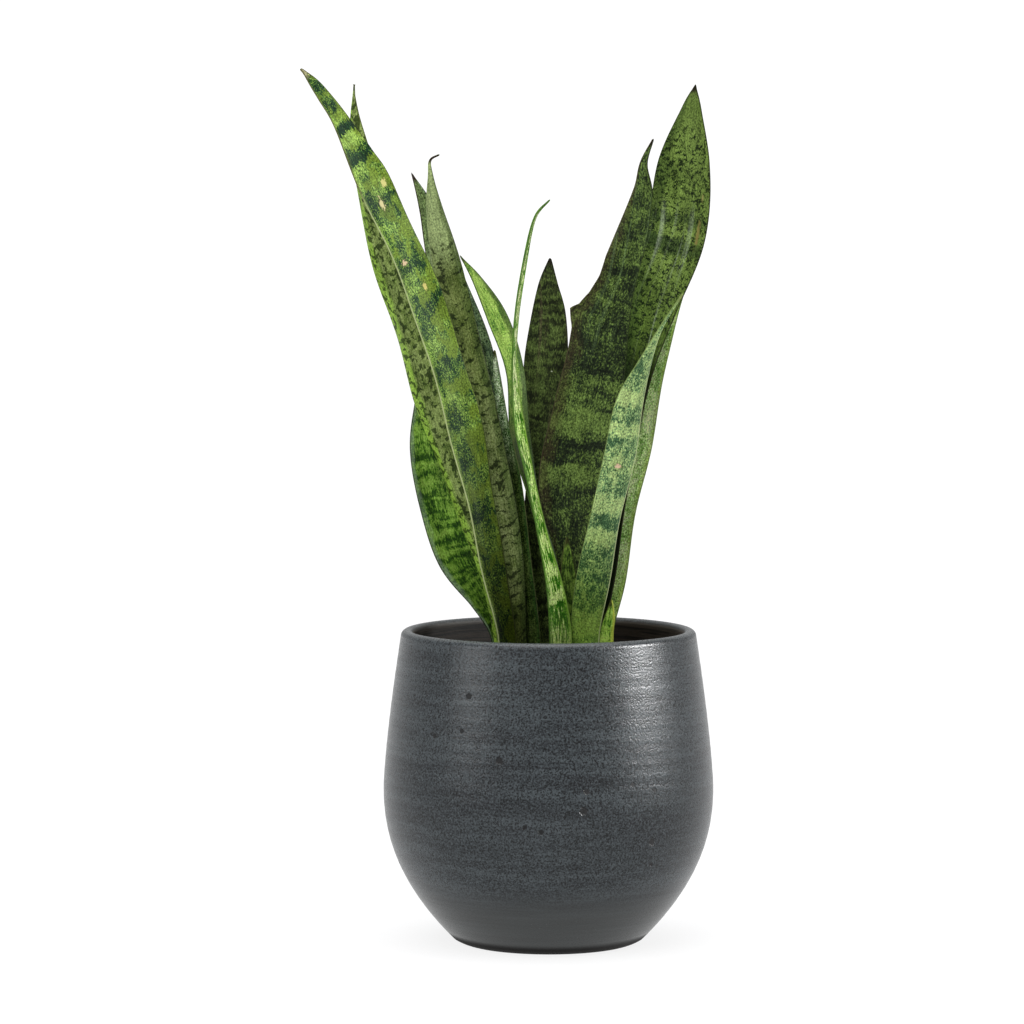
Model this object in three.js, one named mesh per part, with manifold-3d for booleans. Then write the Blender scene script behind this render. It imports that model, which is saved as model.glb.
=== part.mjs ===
// A zeylanica snake plant in a round stoneware cover pot: pot, soil, rhizome and fifteen leaves.
// Millimetres, +Z up. The origin is the centre of the pot's flat foot; the front looks along -Y.

import * as THREE from 'three';
import { mergeVertices } from 'three/addons/utils/BufferGeometryUtils.js';
import Module from 'manifold-3d';

const wasm = await Module();
wasm.setup();

// Pot: the outside swells from the foot to the belly and draws in to a rolled rim.
const POT_HEIGHT = 215;
const FOOT_RADIUS = 62.5;
const FOOT_EDGE = 4.5;
const BELLY_RADIUS = 113.2;
const BELLY_HEIGHT = 107;
const BELLY_POWER = 2.2;
const RIM_RADIUS = 100.5;
const SHOULDER_POWER = 1.35;
const WALL = 9;
const FLOOR = 14;
const POT_SIDES = 40;

// Soil, with a small gap to whatever it touches.
const SOIL_LEVEL = 182;
const SOIL_MOUND = 3;
const GAP = 0.35;

// Rhizome: one lying stem that carries a flat-topped crown under each shoot.
const RHIZOME_RADIUS = 9;
const RHIZOME_HEIGHT = 156;
const CROWN_BOTTOM = 151;
const CROWN_TOP = 169.65;
const CROWN_WIDTH = 25;
const CROWN_DEPTH = 40;
const SHOOTS = [
  [-26, -3],
  [3, -4],
  [32, -5],
];

// Leaves: how thick a blade is, and how its margins wave.
const LEAF_FOOT = 170;
const SOIL_EXIT = 188;
const THICKNESS_AT_FOOT = 3.8;
const THICKNESS_AT_TIP = 1.3;
const MARGIN_THICKNESS = 0.9;
const TIP_WIDTH = 1.2;
const WAVE_LENGTH = 95;
const BLADE_COLUMNS = 5;
const CUTS_IN_SOIL = 1;
const CUTS_ABOVE = 3;

// Each station is [x, y, z, width, facing, fold]. Facing is the way the upper face looks, in degrees
// from the front towards +X. Fold is the arc that the blade's section bends through, in degrees.
// A margin's pairs are a height and how far the left margin stands out there.
const LEAVES = [
  {
    name: 'leaf_tall_left',
    color: 0x5a8440,
    wave: 1.4,
    phase: 0.4,
    stations: [
      [-28, -17, LEAF_FOOT, 13, 12, 70],
      [-28, -17, SOIL_EXIT, 13, 12, 70],
      [-29, -18, 215, 14, 12, 70],
      [-38, -22, 258, 18, 20, 65],
      [-48, -27, 309, 23, 30, 60],
      [-62, -36, 370, 29, 36, 55],
      [-85, -48, 445, 28, 40, 50],
      [-114, -62, 512, 26.5, 38, 45],
      [-126, -67, 536, 21, 36, 45],
      [-139.5, -72, 562, 14.2, 34, 45],
      [-149, -76, 576.5, 10.8, 32, 50],
      [-155.5, -78, 585.5, 7.2, 30, 50],
      [-161, -79.5, 592, 2.6, 30, 50],
      [-164, -80.5, 594.8, TIP_WIDTH, 30, 50],
    ],
  },
  {
    name: 'leaf_tall_left_rear',
    color: 0x6f9350,
    wave: 1.6,
    phase: 2.1,
    stations: [
      [-31, -3, LEAF_FOOT, 13, 165, 60],
      [-31, -3, SOIL_EXIT, 13, 165, 60],
      [-33, -1, 218, 14, 165, 60],
      [-46, 4, 272, 20, 150, 55],
      [-63, 10, 317, 28, 140, 50],
      [-81, 17, 368, 32, 136, 45],
      [-102, 26, 436, 34, 135, 45],
      [-123, 34, 502, 28, 135, 50],
      [-133, 40, 554, 12, 135, 70],
      [-134, 43, 587.5, TIP_WIDTH, 135, 70],
    ],
  },
  {
    name: 'leaf_curled_tip',
    color: 0x8b9f74,
    wave: 0.8,
    phase: 1.2,
    stations: [
      [-21, -10, LEAF_FOOT, 15, 175, 70],
      [-21, -10, SOIL_EXIT, 15, 175, 70],
      [-23, -11, 214, 16, 175, 70],
      [-28, -13, 264, 22, 170, 65],
      [-39, -15, 328, 24, 165, 60],
      [-55, -15, 400, 24, 162, 55],
      [-69, -14, 458, 23, 160, 60],
      [-78, -11, 502, 13, 160, 80],
      [-80.3, -9, 525, 4.5, 160, 90],
      [-80.3, -8.5, 535, 2, 160, 90],
      [-74, -8, 539, TIP_WIDTH, 160, 90],
    ],
  },
  {
    name: 'leaf_left_olive',
    color: 0x4c5c30,
    wave: 1.2,
    phase: 3.4,
    stations: [
      [-21, 4, LEAF_FOOT, 15, 10, 65],
      [-21, 4, SOIL_EXIT, 15, 10, 65],
      [-22, 5, 214, 15, 10, 65],
      [-28, 9, 269, 19, 14, 60],
      [-37, 17, 337, 24, 18, 50],
      [-51, 27, 402, 26, 20, 45],
      [-70, 37, 453, 25, 20, 45],
      [-84, 47, 500, 12, 20, 60],
      [-95, 53, 527, TIP_WIDTH, 20, 60],
    ],
  },
  {
    name: 'leaf_small_centre',
    color: 0x55703c,
    wave: 0.3,
    phase: 0,
    stations: [
      [-12, -4, LEAF_FOOT, 13, 150, 90],
      [-12, -4, SOIL_EXIT, 13, 150, 90],
      [-12, -5, 212, 13, 145, 90],
      [-17, -4, 263, 12, 135, 90],
      [-23.5, -3, 317, 11, 130, 100],
      [-31.5, -1, 355, 11, 130, 105],
      [-36, 1, 386, 8, 130, 110],
      [-37, 4, 406, TIP_WIDTH, 130, 110],
    ],
  },
  {
    name: 'leaf_arching',
    color: 0x5e9a3c,
    wave: 0.8,
    phase: 1.0,
    stations: [
      [6, 3, LEAF_FOOT, 13, 15, 70],
      [6, 3, SOIL_EXIT, 13, 15, 70],
      [6, 2, 211, 13, 20, 70],
      [2, -1, 256, 10, 35, 70],
      [-9.6, 0.5, 300, 11, 44, 70],
      [-20.8, 5, 348, 17.5, 42, 60],
      [-24, 7, 391, 18, 40, 50],
      [-35, 18, 425, 17, 35, 50],
      [-49, 27, 452, 9, 35, 60],
      [-61, 33, 470, TIP_WIDTH, 35, 60],
    ],
  },
  {
    name: 'leaf_thin_front',
    color: 0x79b04c,
    wave: 0.3,
    phase: 0,
    stations: [
      [8, -20, LEAF_FOOT, 17, 8, 90],
      [8, -20, SOIL_EXIT, 17, 8, 90],
      [7.5, -24, 217, 17, 8, 90],
      [3.5, -28, 248, 13, 12, 100],
      [-5, -31, 285, 8, 15, 110],
      [-13, -33, 323, 7, 18, 110],
      [-20, -33, 356, 8.5, 20, 110],
      [-23.5, -32, 392, 5, 30, 120],
      [-22, -29, 429, 4.5, 45, 120],
      [-16.5, -26, 467, 4.5, 55, 120],
      [-9.5, -22, 496, 3.4, 60, 120],
      [1, -18, 508.5, TIP_WIDTH, 60, 120],
    ],
  },
  {
    name: 'leaf_rear_centre',
    color: 0x2f3f24,
    wave: 0.9,
    phase: 2.6,
    stations: [
      [-4, 12, LEAF_FOOT, 13, -5, 70],
      [-4, 12, SOIL_EXIT, 13, -5, 70],
      [-6, 15, 213, 17, -10, 70],
      [-10, 22, 268, 18, -10, 70],
      [-9, 28, 312, 14, -12, 65],
      [-5, 34, 353, 24, -14, 50],
      [-1.5, 40, 394, 32, -15, 40],
      [0.5, 46, 427, 26, -15, 40],
      [0, 50, 450, 14, -15, 50],
      [1, 53, 468, TIP_WIDTH, -15, 50],
    ],
  },
  {
    name: 'leaf_broad_right',
    color: 0x33452a,
    wave: 2.2,
    phase: 0.9,
    margin: [
      [371, 0],
      [391, -1.8],
      [404, -1.8],
      [415, -0.5],
      [425.5, 5.2],
      [429, 0.5],
      [437, -2],
      [451, -1.8],
      [466, 0],
    ],
    stations: [
      [25, 4, LEAF_FOOT, 17, -15, 60],
      [25, 4, SOIL_EXIT, 17, -15, 60],
      [24, 4, 214, 19, -20, 60],
      [16, 5, 272, 33, -18, 55],
      [16.2, 8, 320, 46, -14, 45],
      [28, 12, 370, 47, -12, 40],
      [41, 18, 421, 50, -12, 38],
      [53, 23, 452, 41, -12, 45],
      [60, 27, 482, 29, -14, 55],
      [65, 31, 514, 16, -18, 70],
      [65.5, 33, 533, 7.5, -20, 80],
      [72, 35, 550, TIP_WIDTH, -20, 80],
    ],
  },
  {
    name: 'leaf_channelled_right',
    color: 0x3f5a2f,
    wave: 1.6,
    phase: 4.2,
    stations: [
      [33, -5, LEAF_FOOT, 15, -8, 80],
      [33, -5, SOIL_EXIT, 15, -8, 80],
      [33, -5, 215, 15, -12, 80],
      [40, -4, 256, 15, -18, 80],
      [48, -3, 311, 17, -20, 80],
      [58.5, -3, 372, 20, -22, 80],
      [73, -4, 434, 34, -24, 70],
      [89, -7, 485, 46, -25, 60],
      [93.5, -11, 533, 39, -26, 60],
      [97.5, -15, 570, 17, -27, 70],
      [99, -17, 586, TIP_WIDTH, -27, 80],
    ],
  },
  {
    name: 'leaf_front_right',
    color: 0x86a865,
    wave: 0.4,
    phase: 1.7,
    stations: [
      [26.5, -20, LEAF_FOOT, 19, 190, 70],
      [26.5, -20, SOIL_EXIT, 19, 190, 70],
      [26, -23, 217, 22, 195, 70],
      [32.5, -27, 255, 27, 205, 65],
      [40.5, -32, 296, 25.5, 212, 60],
      [50, -37, 337, 27, 215, 55],
      [56, -41, 371, 26, 220, 55],
      [65, -44, 396, 19, 236, 60],
      [76, -47, 423, 5, 250, 70],
      [90, -50, 446, TIP_WIDTH, 255, 70],
    ],
  },
  {
    name: 'leaf_outer_right',
    color: 0x46622f,
    wave: 1.2,
    phase: 5.0,
    stations: [
      [40, 10, LEAF_FOOT, 14, -25, 70],
      [40, 10, SOIL_EXIT, 14, -25, 70],
      [39, 10, 212, 15, -28, 70],
      [46.3, 12, 251, 18.5, -28, 60],
      [53.5, 16, 299, 20.5, -30, 55],
      [63.5, 21, 343, 21, -32, 50],
      [73, 27, 390, 20.5, -36, 50],
      [83, 32, 426, 13.5, -38, 55],
      [94, 35, 448, TIP_WIDTH, -40, 60],
    ],
  },
  {
    name: 'leaf_low_left',
    color: 0x3d6b2e,
    wave: 2.0,
    phase: 0,
    stations: [
      [-31, 11, LEAF_FOOT, 15, 10, 60],
      [-31, 11, SOIL_EXIT, 15, 10, 60],
      [-34, 13, 212, 15, 10, 60],
      [-45, 17, 234, 21, 14, 55],
      [-63, 24, 264, 32, 20, 45],
      [-75, 32, 301, 37, 25, 40],
      [-81, 38, 336, 35, 28, 40],
      [-84, 43, 370, 22, 28, 45],
      [-89, 47, 404, TIP_WIDTH, 28, 50],
    ],
  },
  {
    name: 'leaf_short_centre',
    color: 0x2e4a22,
    wave: 0,
    phase: 0,
    stations: [
      [15, -12, LEAF_FOOT, 10, 0, 80],
      [15, -12, SOIL_EXIT, 10, 0, 80],
      [15, -13, 215, 11, 0, 80],
      [14, -15, 243, 12.5, 0, 70],
      [13, -17, 264, 9, 0, 70],
      [12.5, -18, 280, TIP_WIDTH, 0, 80],
    ],
  },
  {
    name: 'leaf_short_right',
    color: 0xa3b458,
    wave: 0,
    phase: 0,
    stations: [
      [39, -13, LEAF_FOOT, 11, -10, 80],
      [39, -13, SOIL_EXIT, 11, -10, 80],
      [40, -15, 213, 11, -20, 80],
      [42, -17, 225, 8, -20, 80],
      [43, -18, 237, TIP_WIDTH, -20, 80],
    ],
  },
];

function material(color, roughness) {
  return new THREE.MeshStandardMaterial({ color, roughness, metalness: 0 });
}

// The closed solid of a geometry, with its shared vertices joined.
function toSolid(geometry) {
  const bare = geometry.clone();
  bare.deleteAttribute('normal');
  bare.deleteAttribute('uv');
  const joined = mergeVertices(bare, 1e-4);
  const index = joined.index.array;
  const triangles = [];
  for (let i = 0; i < index.length; i += 3) {
    const [a, b, c] = [index[i], index[i + 1], index[i + 2]];
    if (a !== b && b !== c && c !== a) {
      triangles.push(a, b, c);
    }
  }
  return new wasm.Manifold(new wasm.Mesh({
    numProp: 3,
    vertProperties: Float32Array.from(joined.attributes.position.array),
    triVerts: Uint32Array.from(triangles),
  }));
}

function toGeometry(solid) {
  const mesh = solid.getMesh();
  const geometry = new THREE.BufferGeometry();
  geometry.setAttribute('position', new THREE.BufferAttribute(mesh.vertProperties, 3));
  geometry.setIndex(new THREE.BufferAttribute(mesh.triVerts, 1));
  geometry.computeVertexNormals();
  return geometry;
}

// A closed profile of [radius, height] pairs turned about the Z axis.
function turned(profile) {
  const points = profile.map(([radius, height]) => new THREE.Vector2(radius, height));
  return new THREE.LatheGeometry(points, POT_SIDES).rotateX(Math.PI / 2);
}

// Radius of the pot's outside at a height: a power curve on each side of the belly.
function outerRadius(height) {
  if (height < BELLY_HEIGHT) {
    const below = (BELLY_HEIGHT - height) / BELLY_HEIGHT;
    return BELLY_RADIUS - (BELLY_RADIUS - FOOT_RADIUS) * below ** BELLY_POWER;
  }
  const above = (height - BELLY_HEIGHT) / (POT_HEIGHT - BELLY_HEIGHT);
  return BELLY_RADIUS - (BELLY_RADIUS - RIM_RADIUS) * above ** SHOULDER_POWER;
}

// Points of the inside wall from one height to another, drawn in by an extra gap.
function innerWall(from, to, steps, gap = 0) {
  const points = [];
  for (let i = 0; i <= steps; i += 1) {
    const height = from + (to - from) * (i / steps);
    points.push([outerRadius(height) - WALL - gap, height]);
  }
  return points;
}

function potGeometry() {
  const lip = WALL / 2;
  const lipHeight = POT_HEIGHT - lip;
  const profile = [[0, 0], [FOOT_RADIUS - FOOT_EDGE, 0]];
  const outerHeights = [3, 10, 20, 32, 46, 64, 84, 106, 128, 152, 180, lipHeight];
  for (const height of outerHeights) {
    profile.push([outerRadius(height), height]);
  }
  for (const degrees of [45, 90, 135]) {
    const turn = THREE.MathUtils.degToRad(degrees);
    const centre = outerRadius(lipHeight) - lip;
    profile.push([centre + lip * Math.cos(turn), lipHeight + lip * Math.sin(turn)]);
  }
  profile.push(...innerWall(lipHeight, FLOOR + 8, 7));
  profile.push([outerRadius(FLOOR) - WALL - 8, FLOOR], [0, FLOOR]);
  return turned(profile);
}

function soilSolid() {
  const bottom = FLOOR + GAP;
  const profile = [[0, bottom], [outerRadius(FLOOR) - WALL - 8 - GAP, bottom]];
  profile.push(...innerWall(FLOOR + 8 + GAP, SOIL_LEVEL, 6, 2 * GAP));
  profile.push([0.55 * RIM_RADIUS, SOIL_LEVEL + SOIL_MOUND], [0, SOIL_LEVEL + SOIL_MOUND]);
  return toSolid(turned(profile));
}

// The rhizome, grown on every side by a gap where the soil's own hollow is cut.
function rhizomeSolid(gap = 0) {
  const first = SHOOTS[0];
  const last = SHOOTS[SHOOTS.length - 1];
  const path = new THREE.CatmullRomCurve3([
    new THREE.Vector3(first[0] - 22 - gap, first[1] + 6, RHIZOME_HEIGHT - 9),
    new THREE.Vector3(first[0], first[1], RHIZOME_HEIGHT),
    new THREE.Vector3(SHOOTS[1][0], SHOOTS[1][1], RHIZOME_HEIGHT),
    new THREE.Vector3(last[0], last[1], RHIZOME_HEIGHT),
    new THREE.Vector3(last[0] + 16 + gap, last[1] - 5, RHIZOME_HEIGHT - 3),
  ]);
  const section = new THREE.Shape();
  section.absarc(0, 0, RHIZOME_RADIUS + gap, 0, 2 * Math.PI);
  const stem = new THREE.ExtrudeGeometry(section, {
    steps: 16,
    curveSegments: 10,
    extrudePath: path,
  });
  let solid = toSolid(stem);
  for (const [x, y] of SHOOTS) {
    const height = CROWN_TOP - CROWN_BOTTOM + 2 * gap;
    const crown = new THREE.CylinderGeometry(0.5, 0.5, height, 20);
    crown.rotateX(Math.PI / 2);
    crown.scale(CROWN_WIDTH + 2 * gap, CROWN_DEPTH + 2 * gap, 1);
    crown.translate(x, y, (CROWN_TOP + CROWN_BOTTOM) / 2);
    solid = solid.add(toSolid(crown));
  }
  return solid;
}

// Where a blade is cut into sections, as fractions of its run of stations.
function sectionFractions(intervals) {
  const fractions = [];
  for (let i = 0; i < intervals; i += 1) {
    const cuts = i < 2 ? CUTS_IN_SOIL : CUTS_ABOVE;
    for (let j = 0; j < cuts; j += 1) {
      fractions.push((i + j / cuts) / intervals);
    }
  }
  fractions.push(1);
  return fractions;
}

function curveThrough(points) {
  return new THREE.CatmullRomCurve3(points, false, 'catmullrom', 0.5);
}

// A value at a height, straight between [height, value] pairs and nothing beyond them.
function valueAt(pairs, height) {
  for (let i = 1; i < pairs.length; i += 1) {
    const [low, from] = pairs[i - 1];
    const [high, to] = pairs[i];
    if (height >= low && height <= high) {
      return THREE.MathUtils.mapLinear(height, low, high, from, to);
    }
  }
  return 0;
}

// The two faces of one section: a bent strip with its upper points first, then its lower points.
function bladeSection(place, along, form, thickness, ripple, margin, gap) {
  const facing = THREE.MathUtils.degToRad(form.y);
  const look = new THREE.Vector3(Math.sin(facing), -Math.cos(facing), 0);
  const upward = look.addScaledVector(along, -look.dot(along)).normalize();
  const across = new THREE.Vector3().crossVectors(along, upward);
  const halfFold = THREE.MathUtils.degToRad(form.z) / 2;
  const radius = (Math.max(form.x, TIP_WIDTH) / 2 + gap) / halfFold;
  const upper = [];
  const lower = [];
  for (let j = 0; j < BLADE_COLUMNS; j += 1) {
    const side = (2 * j) / (BLADE_COLUMNS - 1) - 1;
    const bend = side * halfFold;
    const lift = radius * (1 - Math.cos(bend)) + ripple(side);
    const drawn = side < 0 ? margin * side * side : 0;
    const middle = place.clone()
      .addScaledVector(across, radius * Math.sin(bend) - drawn)
      .addScaledVector(upward, lift);
    const outward = upward.clone().multiplyScalar(Math.cos(bend))
      .addScaledVector(across, -Math.sin(bend));
    const half = gap + (MARGIN_THICKNESS + (thickness - MARGIN_THICKNESS) * (1 - side * side)) / 2;
    upper.push(middle.clone().addScaledVector(outward, half));
    lower.push(middle.clone().addScaledVector(outward, -half));
  }
  return [...upper, ...lower];
}

// Triangles of a closed blade; both faces are split along the same diagonals.
function bladeTriangles(sections) {
  const ring = 2 * BLADE_COLUMNS;
  const last = BLADE_COLUMNS - 1;
  const triangles = [];
  for (let k = 0; k < sections - 1; k += 1) {
    const here = k * ring;
    const next = here + ring;
    for (let j = 0; j < last; j += 1) {
      triangles.push(here + j, here + j + 1, next + j + 1, here + j, next + j + 1, next + j);
      const low = BLADE_COLUMNS + j;
      triangles.push(here + low, next + low + 1, here + low + 1);
      triangles.push(here + low, next + low, next + low + 1);
    }
    triangles.push(here, next, next + BLADE_COLUMNS, here, next + BLADE_COLUMNS, here + BLADE_COLUMNS);
    const [right, rightLow] = [here + last, here + BLADE_COLUMNS + last];
    triangles.push(right, rightLow + ring, right + ring, right, rightLow, rightLow + ring);
  }
  const tip = (sections - 1) * ring;
  for (let j = 0; j < last; j += 1) {
    const low = BLADE_COLUMNS + j;
    triangles.push(j, low + 1, j + 1, j, low, low + 1);
    triangles.push(tip + j, tip + j + 1, tip + low + 1, tip + j, tip + low + 1, tip + low);
  }
  return triangles;
}

// A closed leaf blade along its stations, grown by a gap where a hole for it is cut.
function bladeGeometry(leaf, gap = 0) {
  const places = curveThrough(leaf.stations.map(([x, y, z]) => new THREE.Vector3(x, y, z)));
  const forms = curveThrough(
    leaf.stations.map(([, , , width, facing, fold]) => new THREE.Vector3(width, facing, fold)),
  );
  const fractions = sectionFractions(leaf.stations.length - 1);
  const positions = [];
  let distance = 0;
  let previous = places.getPoint(0);
  fractions.forEach((fraction, k) => {
    const place = places.getPoint(fraction);
    distance += place.distanceTo(previous);
    previous = place.clone();
    const along = places.getTangent(fraction);
    if (k === 0) {
      place.addScaledVector(along, -gap);
    }
    const growth = THREE.MathUtils.smoothstep(place.z, SOIL_EXIT, SOIL_EXIT + 60);
    const thickness = THREE.MathUtils.lerp(THICKNESS_AT_FOOT, THICKNESS_AT_TIP, fraction);
    const turn = (2 * Math.PI * distance) / WAVE_LENGTH + leaf.phase;
    const ripple = (side) => leaf.wave * growth * side * side * Math.sin(turn + 1.3 * side);
    const margin = valueAt(leaf.margin ?? [], place.z);
    const form = forms.getPoint(fraction);
    const points = bladeSection(place, along, form, thickness, ripple, margin, gap);
    points.forEach((point) => positions.push(point.x, point.y, point.z));
  });
  const geometry = new THREE.BufferGeometry();
  geometry.setAttribute('position', new THREE.Float32BufferAttribute(positions, 3));
  geometry.setIndex(bladeTriangles(fractions.length));
  geometry.computeVertexNormals();
  return geometry;
}

const group = new THREE.Group();

function addPiece(name, geometry, look) {
  const mesh = new THREE.Mesh(geometry, look);
  mesh.name = name;
  group.add(mesh);
}

let soil = soilSolid().subtract(rhizomeSolid(GAP));
for (const leaf of LEAVES) {
  soil = soil.subtract(toSolid(bladeGeometry(leaf, GAP)));
}

addPiece('pot', potGeometry(), material(0x3a3f44, 0.62));
addPiece('soil', toGeometry(soil), material(0x35291f, 1));
addPiece('rhizome', toGeometry(rhizomeSolid()), material(0xb5894f, 0.8));
for (const leaf of LEAVES) {
  addPiece(leaf.name, bladeGeometry(leaf), material(leaf.color, 0.45));
}

export default group;
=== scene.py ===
"""Potted zeylanica snake plant: the finished look of fifteen mottled leaves in a thrown stoneware pot.

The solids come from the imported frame. The pot and the leaves are finer surfaces worked out from the same
sizes, in metres, with the pot's flat foot on the origin and the front along -Y. The soil and the rhizome
keep their solids and get a finish, and loose crumbs lie on the soil.
"""

from __future__ import annotations

import logging
import math
from collections.abc import Iterator
from dataclasses import dataclass, replace
from enum import Enum

import bpy
import numpy as np
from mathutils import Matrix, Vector

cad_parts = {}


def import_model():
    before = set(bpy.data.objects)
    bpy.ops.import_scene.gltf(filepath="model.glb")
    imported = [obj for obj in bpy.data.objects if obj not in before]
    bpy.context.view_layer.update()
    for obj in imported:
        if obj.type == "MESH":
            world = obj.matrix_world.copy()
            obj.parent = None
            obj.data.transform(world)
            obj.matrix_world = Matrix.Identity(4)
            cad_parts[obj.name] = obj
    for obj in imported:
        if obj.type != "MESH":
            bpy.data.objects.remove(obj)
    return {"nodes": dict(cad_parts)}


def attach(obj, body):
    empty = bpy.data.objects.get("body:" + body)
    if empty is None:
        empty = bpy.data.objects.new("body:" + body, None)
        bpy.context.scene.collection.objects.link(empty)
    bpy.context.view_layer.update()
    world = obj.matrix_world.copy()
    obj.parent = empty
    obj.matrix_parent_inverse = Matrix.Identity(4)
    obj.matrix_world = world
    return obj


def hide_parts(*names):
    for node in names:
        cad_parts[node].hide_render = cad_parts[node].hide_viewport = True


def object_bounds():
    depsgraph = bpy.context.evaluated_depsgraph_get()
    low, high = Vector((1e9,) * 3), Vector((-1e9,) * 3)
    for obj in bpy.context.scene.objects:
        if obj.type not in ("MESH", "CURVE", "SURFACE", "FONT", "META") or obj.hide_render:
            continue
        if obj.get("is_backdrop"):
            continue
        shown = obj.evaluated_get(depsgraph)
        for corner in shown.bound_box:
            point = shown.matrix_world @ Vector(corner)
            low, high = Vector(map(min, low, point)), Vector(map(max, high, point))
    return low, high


log = logging.getLogger("snake_plant")

MM = 0.001
MM_PER_CM = 10
CM_PER_M = 100.0
BODY = "root"

Colour = tuple[float, float, float]
Socket = bpy.types.NodeSocket


def linear(colour: Colour) -> tuple[float, float, float, float]:
    """Turns an sRGB colour into the linear colour that shaders take.

    Args:
        colour: red, green and blue, 0 to 255.

    Returns:
        Linear red, green and blue, 0 to 1, and a full alpha.
    """
    share = np.asarray(colour, float) / 255
    light = np.where(share <= 0.04045, share / 12.92, ((share + 0.055) / 1.055) ** 2.4)
    return (*light.tolist(), 1.0)


def smoothstep(value: np.ndarray, low: float, high: float) -> np.ndarray:
    """A soft step: 0 below low, 1 above high, and 3t^2 - 2t^3 of the share t between them.

    Args:
        value: where to read the step.
        low: where it starts to rise.
        high: where it is full.

    Returns:
        The step at each value.
    """
    share = np.clip((value - low) / (high - low), 0, 1)
    return share * share * (3 - 2 * share)


@dataclass(frozen=True)
class Pattern:
    """Smooth noise on a blade: its scale across and along, per centimetre, and its finer layers.

    Shift keeps its seed apart from the seeds of the leaf's other patterns.
    """

    across: float
    along: float
    shift: float = 0.0
    detail: float = 2.0
    rough: float = 0.5


class Graph:
    """Short calls that add and join the nodes of one node tree."""

    def __init__(self, tree: bpy.types.NodeTree) -> None:
        """Keeps the tree that the calls work on."""
        self.tree = tree

    def add(self, kind: str, inputs: dict | None = None, **settings: object) -> bpy.types.Node:
        """Adds a node.

        Args:
            kind: the node's type, without "ShaderNode".
            inputs: a value or an output socket for each input, by its name or place.
            **settings: the node's own properties.

        Returns:
            The new node.
        """
        node = self.tree.nodes.new("ShaderNode" + kind)
        for name, value in settings.items():
            setattr(node, name, value)
        for key, value in (inputs or {}).items():
            self.feed(node.inputs[key], value)
        return node

    def feed(self, socket: Socket, value: object) -> None:
        """Joins an output socket to an input, or sets the input's own value.

        Args:
            socket: the input.
            value: an output socket, or a number, vector or colour.
        """
        if isinstance(value, Socket):
            self.tree.links.new(value, socket)
        else:
            socket.default_value = value

    def effect(self, group: bpy.types.NodeTree, **inputs: object) -> bpy.types.bpy_prop_collection:
        """Places a shared effect with its own inputs and gives its outputs."""
        return self.add("Group", inputs, node_tree=group).outputs

    def math(self, operation: str, *values: object, clamp: bool = False) -> Socket:
        """The result of one Math node.

        Args:
            operation: the node's operation, such as SUBTRACT.
            *values: numbers or sockets, in order.
            clamp: keeps the result between 0 and 1.

        Returns:
            The node's output.
        """
        node = self.add("Math", dict(enumerate(values)), operation=operation, use_clamp=clamp)
        return node.outputs[0]

    def times(self, value: object, factor: object) -> Socket:
        """The product of two values."""
        return self.math("MULTIPLY", value, factor)

    def rise(self, value: object, low: object, high: object) -> Socket:
        """A soft step of the value, 0 at low and 1 at high."""
        inputs = {"Value": value, "From Min": low, "From Max": high}
        return self.add("MapRange", inputs, interpolation_type="SMOOTHSTEP").outputs["Result"]

    def fall(self, value: object, low: object, high: object) -> Socket:
        """A soft step down, 1 at low and 0 at high."""
        return self.math("SUBTRACT", 1.0, self.rise(value, low, high))

    def swing(self, noise: object, reach: object) -> Socket:
        """Noise turned into an offset that runs from minus to plus the reach."""
        return self.times(self.math("MULTIPLY_ADD", noise, 2.0, -1.0), reach)

    def blend(self, share: object, first: object, second: object, way: str = "MIX") -> Socket:
        """Two colours blended by a share.

        Args:
            share: how much of the second colour shows.
            first: the colour or socket underneath.
            second: the colour or socket on top.
            way: the blend type.

        Returns:
            The blended colour.
        """
        inputs = {0: share, 6: first, 7: second}
        return self.add("Mix", inputs, data_type="RGBA", blend_type=way).outputs[2]

    def tint(self, colour: object, mask: Socket, tone: Colour, strength: float = 1.0,
             way: str = "MIX") -> Socket:
        """Lays one plain colour over another through a mask.

        Args:
            colour: the colour or socket underneath.
            mask: where the plain colour shows.
            tone: the plain colour, sRGB.
            strength: how much of it shows where the mask is full.
            way: the blend type.

        Returns:
            The tinted colour.
        """
        share = mask if strength == 1.0 else self.times(mask, strength)
        return self.blend(share, colour, linear(tone), way)

    def ramp(self, value: Socket, stops: list[tuple[float, tuple[float, ...]]]) -> Socket:
        """A colour read from a run of stops, straight between them.

        Args:
            value: where to read the run.
            stops: the place of each stop, 0 to 1, and its linear colour with alpha.

        Returns:
            The colour.
        """
        node = self.add("ValToRGB", {0: value})
        elements = node.color_ramp.elements
        while len(elements) > 1:
            elements.remove(elements[-1])
        elements[0].position, elements[0].color = stops[0]
        for place, colour in stops[1:]:
            elements.new(place).color = colour
        return node.outputs["Color"]

    def object_place(self, scale: float = 1.0) -> Socket:
        """The place in the object, times a scale."""
        place = self.add("TexCoord").outputs["Object"]
        return place if scale == 1.0 else self.scaled(place, scale)

    def scaled(self, vector: Socket, factor: object) -> Socket:
        """A vector or a colour times one factor."""
        return self.add("VectorMath", {0: vector, "Scale": factor}, operation="SCALE").outputs[0]

    def squeezed(self, vector: Socket, factors: tuple[float, float, float]) -> Socket:
        """A vector times a factor of its own for each part."""
        return self.add("VectorMath", {0: vector, 1: factors}, operation="MULTIPLY").outputs[0]

    def stretched(self, place: object, across: object, along: object, seed: object) -> Socket:
        """A place on a blade scaled on its own in each direction, with the seed as the third part.

        Args:
            place: across and along the blade, in centimetres.
            across: scale across.
            along: scale along.
            seed: picks one pattern of many.

        Returns:
            The vector for a noise.
        """
        parts = self.add("SeparateXYZ", {0: place}).outputs
        x = self.times(parts[0], across)
        y = self.times(parts[1], along)
        return self.add("CombineXYZ", {0: x, 1: y, 2: seed}).outputs[0]

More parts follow.
